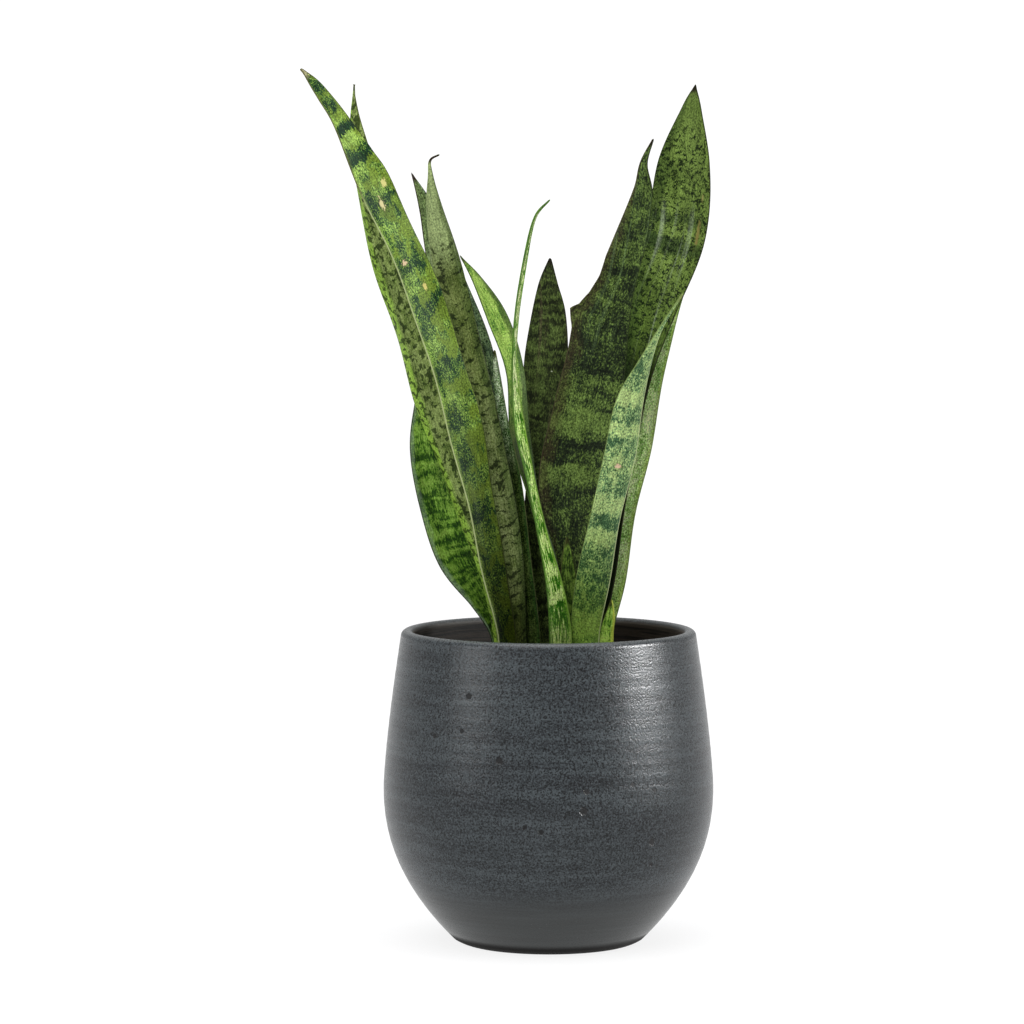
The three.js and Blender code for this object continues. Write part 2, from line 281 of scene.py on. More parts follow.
    def noise(self, place: object, size: object = 1.0, detail: float = 2.0, rough: float = 0.5) -> Socket:
        """Smooth noise round 0.5.

        Args:
            place: the vector that the noise is read at.
            size: the noise's scale.
            detail: how many finer layers it has.
            rough: how strong each finer layer is beside the one before.

        Returns:
            The noise value.
        """
        inputs = {"Vector": place, "Scale": size, "Detail": detail, "Roughness": rough}
        return self.add("TexNoise", inputs).outputs[0]

    def pattern(self, place: object, pattern: Pattern, seed: object) -> Socket:
        """One of a blade's noises.

        Args:
            place: across and along the blade, in centimetres.
            pattern: the noise's scales, shift and layers.
            seed: picks one noise of many, a number or a socket.

        Returns:
            The noise value.
        """
        if not isinstance(seed, Socket):
            seed = seed + pattern.shift
        elif pattern.shift:
            seed = self.math("ADD", seed, pattern.shift)
        scaled = self.stretched(place, pattern.across, pattern.along, seed)
        return self.noise(scaled, 1.0, pattern.detail, pattern.rough)

    def attribute(self, name: str) -> Socket:
        """A value that the mesh carries under that name."""
        return self.add("Attribute", attribute_name=name, attribute_type="GEOMETRY").outputs["Fac"]

    def bump(self, height: Socket, strength: float, depth: float) -> Socket:
        """A normal bent by a relief whose depth is in millimetres."""
        inputs = {"Strength": strength, "Distance": depth * MM, "Height": height}
        return self.add("Bump", inputs).outputs[0]


class SharedEffects:
    """The node groups that more than one finish uses, each built once."""

    FEATHER = Pattern(9.0, 0.9, detail=1.0)
    WANDER = Pattern(0.8, 0.6, shift=5.0, detail=1.0)
    SPECK_LAYERS = (4.0, 0.7)
    DASH_LEVEL = 0.72
    DASH_DROP = -0.36
    DASH_EDGE = 0.045
    SQUIGGLE_ACROSS = 1.5
    SQUIGGLE_LINE = (0.026, 0.055)
    SQUIGGLE_GAPS = Pattern(3.2, 2.8, shift=3.0)
    SQUIGGLE_BREAK = (0.42, 0.5)
    MARGIN_RAGGED = Pattern(3.0, 3.0, detail=1.0)
    MARGIN_FULL = 0.6
    MARGIN_GONE = 1.3
    FLANK_BORDER = Pattern(2.5, 0.7)
    FLANK_WANDER = 0.3
    FLANK_SOFTNESS = 0.16
    SPOT_PITCH = 1.6
    SPOT_EDGE = (0.7, 1.15)
    FINE_FIBRES = Pattern(16.0, 0.5)
    BROAD_FIBRES = Pattern(3.5, 0.12, detail=1.0)
    PORE_PITCH = 22.0
    FIBRE_RELIEF = (0.6, 1.4, 0.35)

    def __init__(self) -> None:
        """Builds every group."""
        self.drift = self._drift()
        self.speckle = self._speckle()
        self.dashes = self._dashes()
        self.squiggles = self._squiggles()
        self.edge_line = self._edge_line()
        self.flank = self._flank()
        self.spot = self._spot()
        self.fibres = self._fibres()

    @staticmethod
    def _group(name: str, inputs: dict, outputs: dict) -> tuple:
        """Starts a group with its named sockets.

        Args:
            name: the group's name.
            inputs: the default value of each input, a number or a vector, by its name.
            outputs: whether each output is a vector, by its name.

        Returns:
            A graph on the group's tree, its input sockets and its output sockets.
        """
        tree = bpy.data.node_groups.new(name, "ShaderNodeTree")
        for label, value in inputs.items():
            kind = "NodeSocketVector" if isinstance(value, tuple) else "NodeSocketFloat"
            socket = tree.interface.new_socket(label, in_out="INPUT", socket_type=kind)
            socket.default_value = value
        for label, vector in outputs.items():
            kind = "NodeSocketVector" if vector else "NodeSocketFloat"
            tree.interface.new_socket(label, in_out="OUTPUT", socket_type=kind)
        entry = tree.nodes.new("NodeGroupInput").outputs
        leave = tree.nodes.new("NodeGroupOutput").inputs
        return Graph(tree), entry, leave

    def _drift(self) -> bpy.types.NodeTree:
        """Moves a pattern up and down the blade, so that its bands get feathered, wandering edges.

        The move is a fine lengthwise streak noise times Feather, plus a slow noise times Wander, plus
        the square of Across times Arch, all in centimetres.

        Returns:
            The group.
        """
        inputs = {
            "Place": (0, 0, 0), "Height": 0.0, "Across": 0.0, "Seed": 0.0,
            "Feather": 0.3, "Wander": 0.5, "Arch": 0.0,
        }
        graph, entry, leave = self._group("drifting bands", inputs, {"Place": True, "Height": False})
        streak = graph.pattern(entry["Place"], self.FEATHER, entry["Seed"])
        slow = graph.pattern(entry["Place"], self.WANDER, entry["Seed"])
        square = graph.times(entry["Across"], entry["Across"])
        move = graph.math("MULTIPLY_ADD", square, entry["Arch"], graph.swing(slow, entry["Wander"]))
        move = graph.math("ADD", move, graph.swing(streak, entry["Feather"]))
        shift = graph.add("CombineXYZ", {1: move}).outputs[0]
        moved = graph.add("VectorMath", {0: entry["Place"], 1: shift}, operation="ADD").outputs[0]
        graph.feed(leave["Place"], moved)
        graph.feed(leave["Height"], graph.math("ADD", entry["Height"], move))
        return graph.tree

    def _speckle(self) -> bpy.types.NodeTree:
        """Fine specks: noise with a cell of Grain across and Grain times Stretch along.

        Returns:
            The group.
        """
        inputs = {"Place": (0, 0, 0), "Seed": 0.0, "Grain": 0.09, "Stretch": 1.6}
        graph, entry, leave = self._group("leaf speckle", inputs, {"Value": False})
        across = graph.math("DIVIDE", 1.0, entry["Grain"])
        along = graph.math("DIVIDE", across, entry["Stretch"])
        place = graph.stretched(entry["Place"], across, along, entry["Seed"])
        graph.feed(leave["Value"], graph.noise(place, 1.0, *self.SPECK_LAYERS))
        return graph.tree

    def _dashes(self) -> bpy.types.NodeTree:
        """Short dark dashes across the blade: flat noise cut at a level that falls as Cover grows.

        Returns:
            The group.
        """
        inputs = {"Place": (0, 0, 0), "Seed": 0.0, "Rows": 2.0, "Reach": 0.6, "Cover": 0.3}
        graph, entry, leave = self._group("cross dashes", inputs, {"Mask": False})
        across = graph.math("DIVIDE", 1.0, entry["Reach"])
        place = graph.stretched(entry["Place"], across, entry["Rows"], entry["Seed"])
        level = graph.math("MULTIPLY_ADD", entry["Cover"], self.DASH_DROP, self.DASH_LEVEL)
        top = graph.math("ADD", level, self.DASH_EDGE)
        graph.feed(leave["Mask"], graph.rise(graph.noise(place), level, top))
        return graph.tree

    def _squiggles(self) -> bpy.types.NodeTree:
        """Thin wavy cross lines: where flat noise passes its middle, broken up by a second noise.

        Returns:
            The group.
        """
        inputs = {"Place": (0, 0, 0), "Seed": 0.0, "Rows": 3.0}
        graph, entry, leave = self._group("squiggles", inputs, {"Mask": False})
        place = graph.stretched(entry["Place"], self.SQUIGGLE_ACROSS, entry["Rows"], entry["Seed"])
        near = graph.math("ABSOLUTE", graph.math("SUBTRACT", graph.noise(place), 0.5))
        line = graph.fall(near, *self.SQUIGGLE_LINE)
        gaps = graph.pattern(entry["Place"], self.SQUIGGLE_GAPS, entry["Seed"])
        graph.feed(leave["Mask"], graph.times(line, graph.rise(gaps, *self.SQUIGGLE_BREAK)))
        return graph.tree

    def _edge_line(self) -> bpy.types.NodeTree:
        """A thin line along a margin: 1 where the distance to the margin is under a ragged Width.

        Returns:
            The group.
        """
        inputs = {"Edge": 0.0, "Width": 0.5, "Place": (0, 0, 0), "Seed": 0.0}
        graph, entry, leave = self._group("margin line", inputs, {"Mask": False})
        ragged = graph.pattern(entry["Place"], self.MARGIN_RAGGED, entry["Seed"])
        width = graph.times(entry["Width"], graph.math("ADD", ragged, 0.5))
        full = graph.times(width, self.MARGIN_FULL)
        gone = graph.times(width, self.MARGIN_GONE)
        graph.feed(leave["Mask"], graph.fall(entry["Edge"], full, gone))
        return graph.tree

    def _flank(self) -> bpy.types.NodeTree:
        """A tint beside one margin: a soft step of Across times Side, with a wandering border.

        Returns:
            The group.
        """
        inputs = {"Across": 0.0, "Side": 1.0, "Reach": 0.3, "Place": (0, 0, 0), "Seed": 0.0}
        graph, entry, leave = self._group("flank tint", inputs, {"Mask": False})
        slow = graph.pattern(entry["Place"], self.FLANK_BORDER, entry["Seed"])
        turned = graph.times(entry["Across"], entry["Side"])
        value = graph.math("ADD", turned, graph.swing(slow, self.FLANK_WANDER))
        border = graph.math("SUBTRACT", 1.0, entry["Reach"])
        low = graph.math("SUBTRACT", border, self.FLANK_SOFTNESS)
        high = graph.math("ADD", border, self.FLANK_SOFTNESS)
        graph.feed(leave["Mask"], graph.rise(value, low, high))
        return graph.tree

    def _spot(self) -> bpy.types.NodeTree:
        """One spot: 1 where the distance to Centre over Size, made ragged by noise, is under 1.

        Returns:
            The group.
        """
        inputs = {"Place": (0, 0, 0), "Centre": (0, 0, 0), "Size": 0.2, "Ragged": 0.6}
        graph, entry, leave = self._group("spot", inputs, {"Mask": False})
        away = graph.add("VectorMath", {0: entry["Place"], 1: entry["Centre"]}, operation="DISTANCE")
        share = graph.math("DIVIDE", away.outputs["Value"], entry["Size"])
        pitch = graph.math("DIVIDE", self.SPOT_PITCH, entry["Size"])
        rough = graph.swing(graph.noise(entry["Place"], pitch, 1.0), entry["Ragged"])
        graph.feed(leave["Mask"], graph.fall(graph.math("ADD", share, rough), *self.SPOT_EDGE))
        return graph.tree

    def _fibres(self) -> bpy.types.NodeTree:
        """Lengthwise fibres under the skin: long thin noise, and with fine pores as a relief.

        Returns:
            The group.
        """
        inputs = {"Place": (0, 0, 0), "Seed": 0.0}
        graph, entry, leave = self._group("leaf fibres", inputs, {"Value": False, "Relief": False})
        fine = graph.pattern(entry["Place"], self.FINE_FIBRES, entry["Seed"])
        broad = graph.pattern(entry["Place"], self.BROAD_FIBRES, entry["Seed"])
        pores = graph.noise(entry["Place"], self.PORE_PITCH, 1.0)
        fine_height, broad_height, pore_height = self.FIBRE_RELIEF
        relief = graph.math("MULTIPLY_ADD", broad, broad_height, graph.times(fine, fine_height))
        relief = graph.math("MULTIPLY_ADD", pores, pore_height, relief)
        graph.feed(leave["Value"], fine)
        graph.feed(leave["Relief"], relief)
        return graph.tree


def new_material(name: str) -> tuple[bpy.types.Material, Graph, bpy.types.Node]:
    """Starts a material with a bare Principled BSDF joined to its output.

    Args:
        name: the material's name.

    Returns:
        The material, a graph on its tree and its Principled BSDF.
    """
    material = bpy.data.materials.new(name)
    material.use_nodes = True
    return material, Graph(material.node_tree), material.node_tree.nodes["Principled BSDF"]


@dataclass(frozen=True)
class Mark:
    """A band at a known height of a leaf, in millimetres: level 1 is all light and -1 all dark."""

    height: float
    half: float
    level: float


@dataclass(frozen=True)
class Flank:
    """A tint beside one margin. Reach is the share of the half width that it takes."""

    # Some flanks are the leaf's own colour; others are painted shade or painted sheen beside a margin.
    colour: Colour
    reach: float
    strength: float


@dataclass(frozen=True)
class Scar:
    """A dry corky scar: height, offset from the midline, size in millimetres, and length over width."""

    height: float
    offset: float
    size: float
    colour: Colour = (190, 172, 116)
    stretch: float = 1.4
    strength: float = 0.9


@dataclass(frozen=True)
class TintOrShade:
    """A colour over the leaf's own, in full at one height and gone at another, in millimetres."""
    # One that multiplies the colour darker towards the foot is painted shade, where the crowded leaves
    # shade each other near the soil; the others are the leaf's own tint.

    colour: Colour
    full: float
    gone: float
    strength: float = 1.0
    way: str = "MULTIPLY"


@dataclass(frozen=True)
class FaceTone:
    """Colours and markings of one face of a blade. Left and right are as the upper face is seen.

    Colours are sRGB and run from light to deep as the mottling thickens. Cover is the share of dark,
    the weights from speckle to bands say how much each size of pattern counts, grain is the size of a
    speck in millimetres, grit is how far the skin's fine grain strays from the plain colour, rows are
    counted per centimetre, and feather, wander, arch and reach are in centimetres. Islands are smooth
    patches in one colour, and island side gathers them towards the right margin. A run is the two
    heights, in millimetres, that lines or streaks lie between. The streaks are painted sheen: pale
    lengthwise stripes of painted highlight.
    """

    light: Colour = (138, 164, 80)
    middle: Colour = (98, 132, 54)
    dark: Colour = (54, 84, 50)
    deep: Colour = (36, 58, 42)
    cover: float = 0.5
    speckle: float = 1.0
    grain: float = 0.9
    grit: float = 1.2
    fibres: float = 0.25
    blotches: float = 0.5
    patches: float = 0.6
    bands: float = 0.5
    band_rows: float = 0.5
    mark_weight: float = 0.5
    dashes: float = 0.0
    dash_rows: float = 2.6
    dash_reach: float = 0.5
    squiggles: float = 0.0
    squiggle_rows: float = 3.2
    line_colour: Colour = (36, 52, 26)
    line_run: tuple[float, float] = (150, 620)
    islands: float = 0.0
    island_side: float = 0.0
    island_colour: Colour = (122, 140, 66)
    feather: float = 0.3
    wander: float = 0.5
    arch: float = 0.0
    marks: tuple[Mark, ...] = ()
    left: Flank | None = None
    right: Flank | None = None
    # Painted sheen: the strength, colour and run of pale lengthwise streaks of painted highlight.
    streaks: float = 0.0
    sheen_colour: Colour = (176, 196, 172)
    sheen_run: tuple[float, float] = (200, 600)
    # Tints by height; those that darken towards the foot are painted shade.
    tints_and_shade: tuple[TintOrShade, ...] = ()


@dataclass(frozen=True)
class LeafSkin:
    """The finish of one leaf: the tone of each face, its margins, tip, foot and scars.

    Widths, heights and lengths are in millimetres. The upper edge is the left margin's colour above
    the height that it starts from.
    """

    upper: FaceTone
    lower: FaceTone
    left_edge: Colour = (78, 84, 44)
    right_edge: Colour = (46, 48, 28)
    left_width: float = 0.45
    right_width: float = 0.45
    upper_edge: Colour | None = None
    upper_edge_from: float = 500.0
    tip: Colour = (66, 70, 36)
    tip_length: float = 6.0
    foot: Colour = (150, 176, 96)
    foot_height: float = 209.0
    foot_strength: float = 0.0
    scars: tuple[Scar, ...] = ()
    roughness: float = 0.4


class BladeFinish:
    """The material of one face of one leaf, laid from the ground colour up.

    Lengths are in centimetres unless their comment says otherwise. A pair of numbers is where a soft
    step starts and where it is full.
    """

    FIBRES = Pattern(11.0, 1.1, shift=2)
    BLOTCHES = Pattern(2.6, 2.2, shift=3, detail=3.0)
    PATCHES = Pattern(0.8, 0.6, shift=4)
    BAND_ACROSS = 0.25
    BAND_SHIFT = 5
    COAST = Pattern(1.0, 0.8, shift=7)
    FINE_GRAIN = Pattern(10.0, 7.0, shift=16, rough=0.6)
    BROAD_GRAIN = Pattern(1.4, 0.35, shift=17)
    # Noise of the painted sheen streaks.
    SHEEN_PATTERN = Pattern(2.6, 0.07, shift=10)
    TORN = Pattern(6.0, 0.8, shift=12)
    SPECK_SHIFT, VEIN_SHIFT, DASH_SHIFT, FLANK_SHIFT, SQUIGGLE_SHIFT, MARGIN_SHIFT = 1, 2, 6, 8, 9, 14

    COVER_WEIGHT = 0.5
    CONTRAST = 2.4
    DARK_STEP = (-0.04, 0.06)
    TONE_PLACES = (0.14, 0.40, 0.58, 0.86)
    LAND_STEP = (0.525, 0.54)
    LIGHT_BAND_STEP = (0.15, 0.4)
    SHORE = 0.53
    SHORE_STEP = (0.004, 0.016)
    SHORE_STRENGTH = 0.6
    BROAD_GRIT = 0.5
    RUN_FADE = 1.2
    DASH_STRENGTH = 0.85
    # Where the painted sheen streaks start and are full in their noise.
    SHEEN_STEP = (0.52, 0.74)
    FOOT_SWING, FOOT_BELOW, FOOT_ABOVE = 2.0, 2.0, 2.5
    TIP_SWING, TIP_BELOW, TIP_ABOVE = 0.25, 0.15, 0.3
    VEIN_STEP = (0.3, 0.7)
    VEIN_TONES = ((176, 180, 170), (255, 255, 240))
    VEIN_STRENGTH = 0.6
    SIDE_STEP = (-0.05, 0.05)
    EDGE_STRENGTH = 0.85
    UPPER_EDGE_FADE = 1
    SCAR_RAGGED = 1.1
    RIM_SCALE = 1.5
    RIM_TONE = (92, 98, 44)
    RIM_STRENGTH = 0.35
    DARK_ROUGHNESS, FIBRE_ROUGHNESS, SCAR_ROUGHNESS = 0.05, 0.10, 0.3
    SCAR_DEPTH = 0.8
    RELIEF_STRENGTH, RELIEF_DEPTH = 0.5, 0.25
    SPECULAR = 0.03

    # In millimetres: the heights that known bands are read between, and how softly a band starts.
    # A level that is plain counts for neither light nor dark.
    SCALE_BOTTOM = 160.0
    SCALE_TOP = 620.0
    BAND_SOFTNESS = 2.0
    PLAIN = 0.5

    def __init__(self, name: str, effects: SharedEffects, skin: LeafSkin, tone: FaceTone, seed: float,
                 tip_height: float) -> None:
        """Starts the face's material and what its layers read.

        Args:
            name: the material's name.
            effects: the shared node groups.
            skin: the leaf's finish.
            tone: the face's colours and markings.
            seed: picks this face's own pattern.
            tip_height: the height of the leaf's tip, in millimetres.
        """
        self.effects = effects
        self.skin = skin
        self.tone = tone
        self.seed = seed
        self.tip_height = tip_height
        self.surface, self.graph, self.shader = new_material(name)
        self.colour: Socket | None = None
        self.place = self.graph.add("UVMap", uv_map="blade").outputs[0]
        self.across = self.graph.attribute("across")
        self.height = self.graph.attribute("height")
        self.drift = self.graph.effect(
            effects.drift, Place=self.place, Height=self.height, Across=self.across, Seed=seed,
            Feather=tone.feather, Wander=tone.wander, Arch=tone.arch)

    def material(self) -> bpy.types.Material:
        """Lays every layer of colour, then the roughness and the relief.

        Returns:
            The material.
        """
        graph = self.graph
        fibres = graph.effect(self.effects.fibres, Place=self.place, Seed=self.seed + self.VEIN_SHIFT)
        dark = self._mottling()
        self._tints_and_shade()
        self._flanks()
        self._lines()
        self._painted_sheen()
        self._ends()
        veins = graph.rise(fibres["Value"], *self.VEIN_STEP)
        veins = graph.blend(veins, *(linear(tone) for tone in self.VEIN_TONES))
        self.colour = graph.blend(self.VEIN_STRENGTH, self.colour, veins, "MULTIPLY")
        self._grain()
        self._margins()
        scarred = self._scars()
        graph.feed(self.shader.inputs["Base Color"], self.colour)

        rough = graph.math("MULTIPLY_ADD", dark, self.DARK_ROUGHNESS, self.skin.roughness)
        rough = graph.math("MULTIPLY_ADD", fibres["Value"], self.FIBRE_ROUGHNESS, rough)
        rough = graph.math("MULTIPLY_ADD", scarred, self.SCAR_ROUGHNESS, rough)
        graph.feed(self.shader.inputs["Roughness"], rough)
        relief = graph.math("SUBTRACT", fibres["Relief"], graph.times(scarred, self.SCAR_DEPTH))
        bent = graph.bump(relief, self.RELIEF_STRENGTH, self.RELIEF_DEPTH)
        graph.feed(self.shader.inputs["Normal"], bent)
        self.shader.inputs["Specular IOR Level"].default_value = self.SPECULAR
        return self.surface

    def _lay(self, mask: Socket, tone: Colour, strength: float = 1.0, way: str = "MIX") -> None:
        """Lays one plain colour over the face's own through a mask."""
        self.colour = self.graph.tint(self.colour, mask, tone, strength, way)

    def _mottling(self) -> Socket:
        """The ground colour with its mottling, bands and islands.

        A score adds five noises by their weights, each counted from its middle: specks, lengthwise
        fibres, blotches, patches and bands. The cover and the known bands shift it, and the colour runs
        from light through middle and dark to deep as it rises.

        Returns:
            The mask of the dark parts.
        """
        graph, tone, seed = self.graph, self.tone, self.seed
        moved = self.drift["Place"]
        specks = graph.effect(self.effects.speckle, Place=self.place, Seed=seed + self.SPECK_SHIFT,
                              Grain=tone.grain / MM_PER_CM)
        bands = Pattern(self.BAND_ACROSS, tone.band_rows, self.BAND_SHIFT)
        noises = (
            (tone.speckle, specks[0]),
            (tone.fibres, graph.pattern(self.place, self.FIBRES, seed)),
            (tone.blotches, graph.pattern(moved, self.BLOTCHES, seed)),
            (tone.patches, graph.pattern(moved, self.PATCHES, seed)),
            (tone.bands, graph.pattern(moved, bands, seed)),
        )
        total = sum(weight for weight, _ in noises)
        score = (tone.cover - 0.5) * self.COVER_WEIGHT - total / 2
        for weight, noise in noises:
            score = graph.math("MULTIPLY_ADD", noise, weight, score)
        level = self.PLAIN
        if tone.marks:
            level = self._known_bands()
            weight = tone.mark_weight
            score = graph.math("SUBTRACT", score, graph.math("MULTIPLY_ADD", level, weight, -weight / 2))
        dark = graph.rise(score, *self.DARK_STEP)
        share = graph.math("MULTIPLY_ADD", score, self.CONTRAST, 0.5, clamp=True)
        shades = (linear(shade) for shade in (tone.light, tone.middle, tone.dark, tone.deep))
        self.colour = graph.ramp(share, list(zip(self.TONE_PLACES, shades)))
        if tone.islands > 0:
            self._islands(level)
        return dark

    def _islands(self, level: object) -> None:
        """Lays smooth patches in one colour, each with a thin darker shore.

        Args:
            level: the known bands' level, because dark bands carry no islands.
        """
        graph, tone = self.graph, self.tone
        coast = graph.pattern(self.drift["Place"], self.COAST, self.seed)
        coast = graph.math("MULTIPLY_ADD", self.across, tone.island_side, coast)
        land = graph.times(graph.rise(coast, *self.LAND_STEP), tone.islands)
        land = graph.times(land, graph.rise(level, *self.LIGHT_BAND_STEP))
        self._lay(land, tone.island_colour)
        away = graph.math("ABSOLUTE", graph.math("SUBTRACT", coast, self.SHORE))
        shore = graph.fall(away, *self.SHORE_STEP)
        self._lay(shore, tone.dark, self.SHORE_STRENGTH * tone.islands)

    def _known_bands(self) -> Socket:
        """A level along the leaf that steps to each mark's own: 0.5 is plain, 1 light and 0 dark.

        Returns:
            The level.
        """
        soft = self.BAND_SOFTNESS
        stops = [(self.SCALE_BOTTOM, self.PLAIN)]
        last = -math.inf
        for mark in sorted(self.tone.marks, key=lambda one: one.height):
            start, end = mark.height - mark.half, mark.height + mark.half
            if start - last > 3 * soft:
                if last > 0:
                    stops.append((last + soft, self.PLAIN))
                stops.append((start - soft, self.PLAIN))
            level = self.PLAIN + mark.level / 2
            stops += [(start, level), (end, level)]
            last = end
        stops.append((last + soft, self.PLAIN))
        run = self.SCALE_TOP - self.SCALE_BOTTOM
        places = [max(0.0, (height - self.SCALE_BOTTOM) / run) for height, _ in stops]
        greys = [(level, level, level, 1.0) for _, level in stops]
        share = self.graph.add("MapRange", {
            "Value": self.drift["Height"], "From Min": self.SCALE_BOTTOM / MM_PER_CM,
            "From Max": self.SCALE_TOP / MM_PER_CM,
        }).outputs["Result"]
        return self.graph.ramp(share, list(zip(places, greys)))

    def _grain(self) -> None:
        """Lightens and darkens the colour in cells of about a millimetre, and in broad soft patches."""
        graph = self.graph
        fine = graph.pattern(self.place, self.FINE_GRAIN, self.seed)
        broad = graph.pattern(self.place, self.BROAD_GRAIN, self.seed)
        gain = graph.math("ADD", graph.swing(fine, self.tone.grit), graph.swing(broad, self.BROAD_GRIT))
        self.colour = graph.scaled(self.colour, graph.math("ADD", gain, 1.0))

    def _between(self, run: tuple[float, float]) -> Socket:
        """A mask that is 1 between two heights and fades over a few millimetres past each.

        Args:
            run: the two heights, in millimetres.

        Returns:
            The mask.
        """
        low, high = (value / MM_PER_CM for value in run)
        above = self.graph.rise(self.height, low - self.RUN_FADE, low + self.RUN_FADE)
        below = self.graph.rise(self.height, high + self.RUN_FADE, high - self.RUN_FADE)
        return self.graph.times(above, below)

    def _tints_and_shade(self) -> None:
        """Lays the tints and the painted shade over the colour, from the first to the last."""
        for tint_or_shade in self.tone.tints_and_shade:
            share = self.graph.rise(self.drift["Height"], tint_or_shade.gone / MM_PER_CM, tint_or_shade.full / MM_PER_CM)
            self._lay(share, tint_or_shade.colour, tint_or_shade.strength, tint_or_shade.way)

    def _lines(self) -> None:
        """Adds the thin wavy lines and the short dashes that lie across the blade."""
        graph, tone, seed = self.graph, self.tone, self.seed
        moved = self.drift["Place"]
        window = self._between(tone.line_run)
        if tone.squiggles > 0:
            mask = graph.effect(self.effects.squiggles, Place=moved, Rows=tone.squiggle_rows,
                                Seed=seed + self.SQUIGGLE_SHIFT)[0]
            self._lay(graph.times(mask, window), tone.line_colour, tone.squiggles)
        if tone.dashes > 0:
            mask = graph.effect(self.effects.dashes, Place=moved, Rows=tone.dash_rows,
                                Reach=tone.dash_reach, Cover=tone.dashes, Seed=seed + self.DASH_SHIFT)[0]
            self._lay(graph.times(mask, window), tone.line_colour, self.DASH_STRENGTH)

    def _flanks(self) -> None:
        """Adds the tints beside the margins, some of them painted shade or painted sheen."""
        for side, flank in ((-1.0, self.tone.left), (1.0, self.tone.right)):
            if flank is None:
                continue
            mask = self.graph.effect(self.effects.flank, Across=self.across, Side=side, Reach=flank.reach,
                                     Place=self.place, Seed=self.seed + self.FLANK_SHIFT + side)[0]
            self._lay(mask, flank.colour, flank.strength)

    def _painted_sheen(self) -> None:
        """Adds pale streaks of painted sheen, painted highlights that run up the blade between two heights.
        """
        tone = self.tone
        if tone.streaks <= 0:
            return
        sheen = self.graph.rise(self.graph.pattern(self.place, self.SHEEN_PATTERN, self.seed), *self.SHEEN_STEP)
        mask = self.graph.times(sheen, self._between(tone.sheen_run))
        self._lay(mask, tone.sheen_colour, tone.streaks)

    def _ends(self) -> None:
        """Adds the paler foot near the soil and the dry tip."""
        graph, skin = self.graph, self.skin
        torn = graph.pattern(self.place, self.TORN, self.seed)
        lifted = graph.math("ADD", self.height, graph.swing(torn, self.FOOT_SWING))
        level = skin.foot_height / MM_PER_CM
        foot = graph.fall(lifted, level - self.FOOT_BELOW, level + self.FOOT_ABOVE)
        self._lay(foot, skin.foot, skin.foot_strength)
        start = (self.tip_height - skin.tip_length) / MM_PER_CM
        lifted = graph.math("ADD", self.height, graph.swing(torn, self.TIP_SWING))
        dry = graph.rise(lifted, start - self.TIP_BELOW, start + self.TIP_ABOVE)
        self._lay(dry, skin.tip)

    def _margins(self) -> None:
        """Adds the thin coloured line along each margin."""
        graph, skin = self.graph, self.skin
        right = graph.rise(self.across, *self.SIDE_STEP)
        width = graph.math("MULTIPLY_ADD", right, skin.right_width - skin.left_width, skin.left_width)
        line = graph.effect(self.effects.edge_line, Edge=graph.attribute("edge"), Width=width,
                            Place=self.place, Seed=self.seed + self.MARGIN_SHIFT)[0]
        left = linear(skin.left_edge)
        if skin.upper_edge is not None:
            start = skin.upper_edge_from / MM_PER_CM
            above = graph.rise(self.height, start - self.UPPER_EDGE_FADE, start + self.UPPER_EDGE_FADE)
            left = graph.tint(left, above, skin.upper_edge)
        sides = graph.tint(left, right, skin.right_edge)
        self.colour = graph.blend(graph.times(line, self.EDGE_STRENGTH), self.colour, sides)

    def _scars(self) -> Socket:
        """Adds the corky scars, each with a darker rim.

        Returns:
            The mask of all the scars.
        """
        graph, spot = self.graph, self.effects.spot
        total: Socket = graph.add("Value").outputs[0]
        x = graph.add("SeparateXYZ", {0: self.place}).outputs[0]
        for scar in self.skin.scars:
            lowered = graph.math("DIVIDE", self.height, scar.stretch)
            inputs = {
                "Place": graph.add("CombineXYZ", {0: x, 1: lowered}).outputs[0],
                "Centre": (scar.offset / MM_PER_CM, scar.height / MM_PER_CM / scar.stretch, 0),
                "Ragged": self.SCAR_RAGGED,
            }
            mask = graph.effect(spot, Size=scar.size / MM_PER_CM, **inputs)[0]
            rim = graph.effect(spot, Size=scar.size * self.RIM_SCALE / MM_PER_CM, **inputs)[0]
            self._lay(rim, self.RIM_TONE, self.RIM_STRENGTH)
            self._lay(mask, scar.colour, scar.strength)
            total = graph.math("MAXIMUM", total, mask)
        return total


def put_mesh(name: str, points: np.ndarray, faces: np.ndarray,
             slots: np.ndarray | None = None) -> bpy.types.Object:
    """Makes an object from whole arrays, smooth shaded, at the origin.

    Args:
        name: the piece's name.
        points: vertices, in metres.
        faces: corner numbers, a row for each face; a corner of -1 makes the row a triangle.
        slots: the material slot of each face.

    Returns:
        The object, linked to the scene.
    """
    sides = (faces >= 0).sum(axis=1)
    corners = faces[faces >= 0]
    mesh = bpy.data.meshes.new(name)
    mesh.vertices.add(len(points))
    mesh.vertices.foreach_set("co", np.asarray(points, np.float32).ravel())
    mesh.loops.add(len(corners))
    mesh.loops.foreach_set("vertex_index", corners.astype(np.int32))
    mesh.polygons.add(len(faces))
    starts = np.concatenate([[0], np.cumsum(sides)[:-1]])
    mesh.polygons.foreach_set("loop_start", starts.astype(np.int32))
    mesh.polygons.foreach_set("use_smooth", np.ones(len(faces), bool))
    if slots is not None:
        mesh.polygons.foreach_set("material_index", slots.astype(np.int32))
    mesh.update(calc_edges=True)
    mesh.validate()
    piece = bpy.data.objects.new(name, mesh)
    bpy.context.scene.collection.objects.link(piece)
    return piece


def put_values(mesh: bpy.types.Mesh, name: str, values: np.ndarray) -> None:
    """Stores one number for each vertex under a name that materials can read."""
    layer = mesh.attributes.new(name, "FLOAT", "POINT")
    layer.data.foreach_set("value", np.asarray(values, np.float32).ravel())


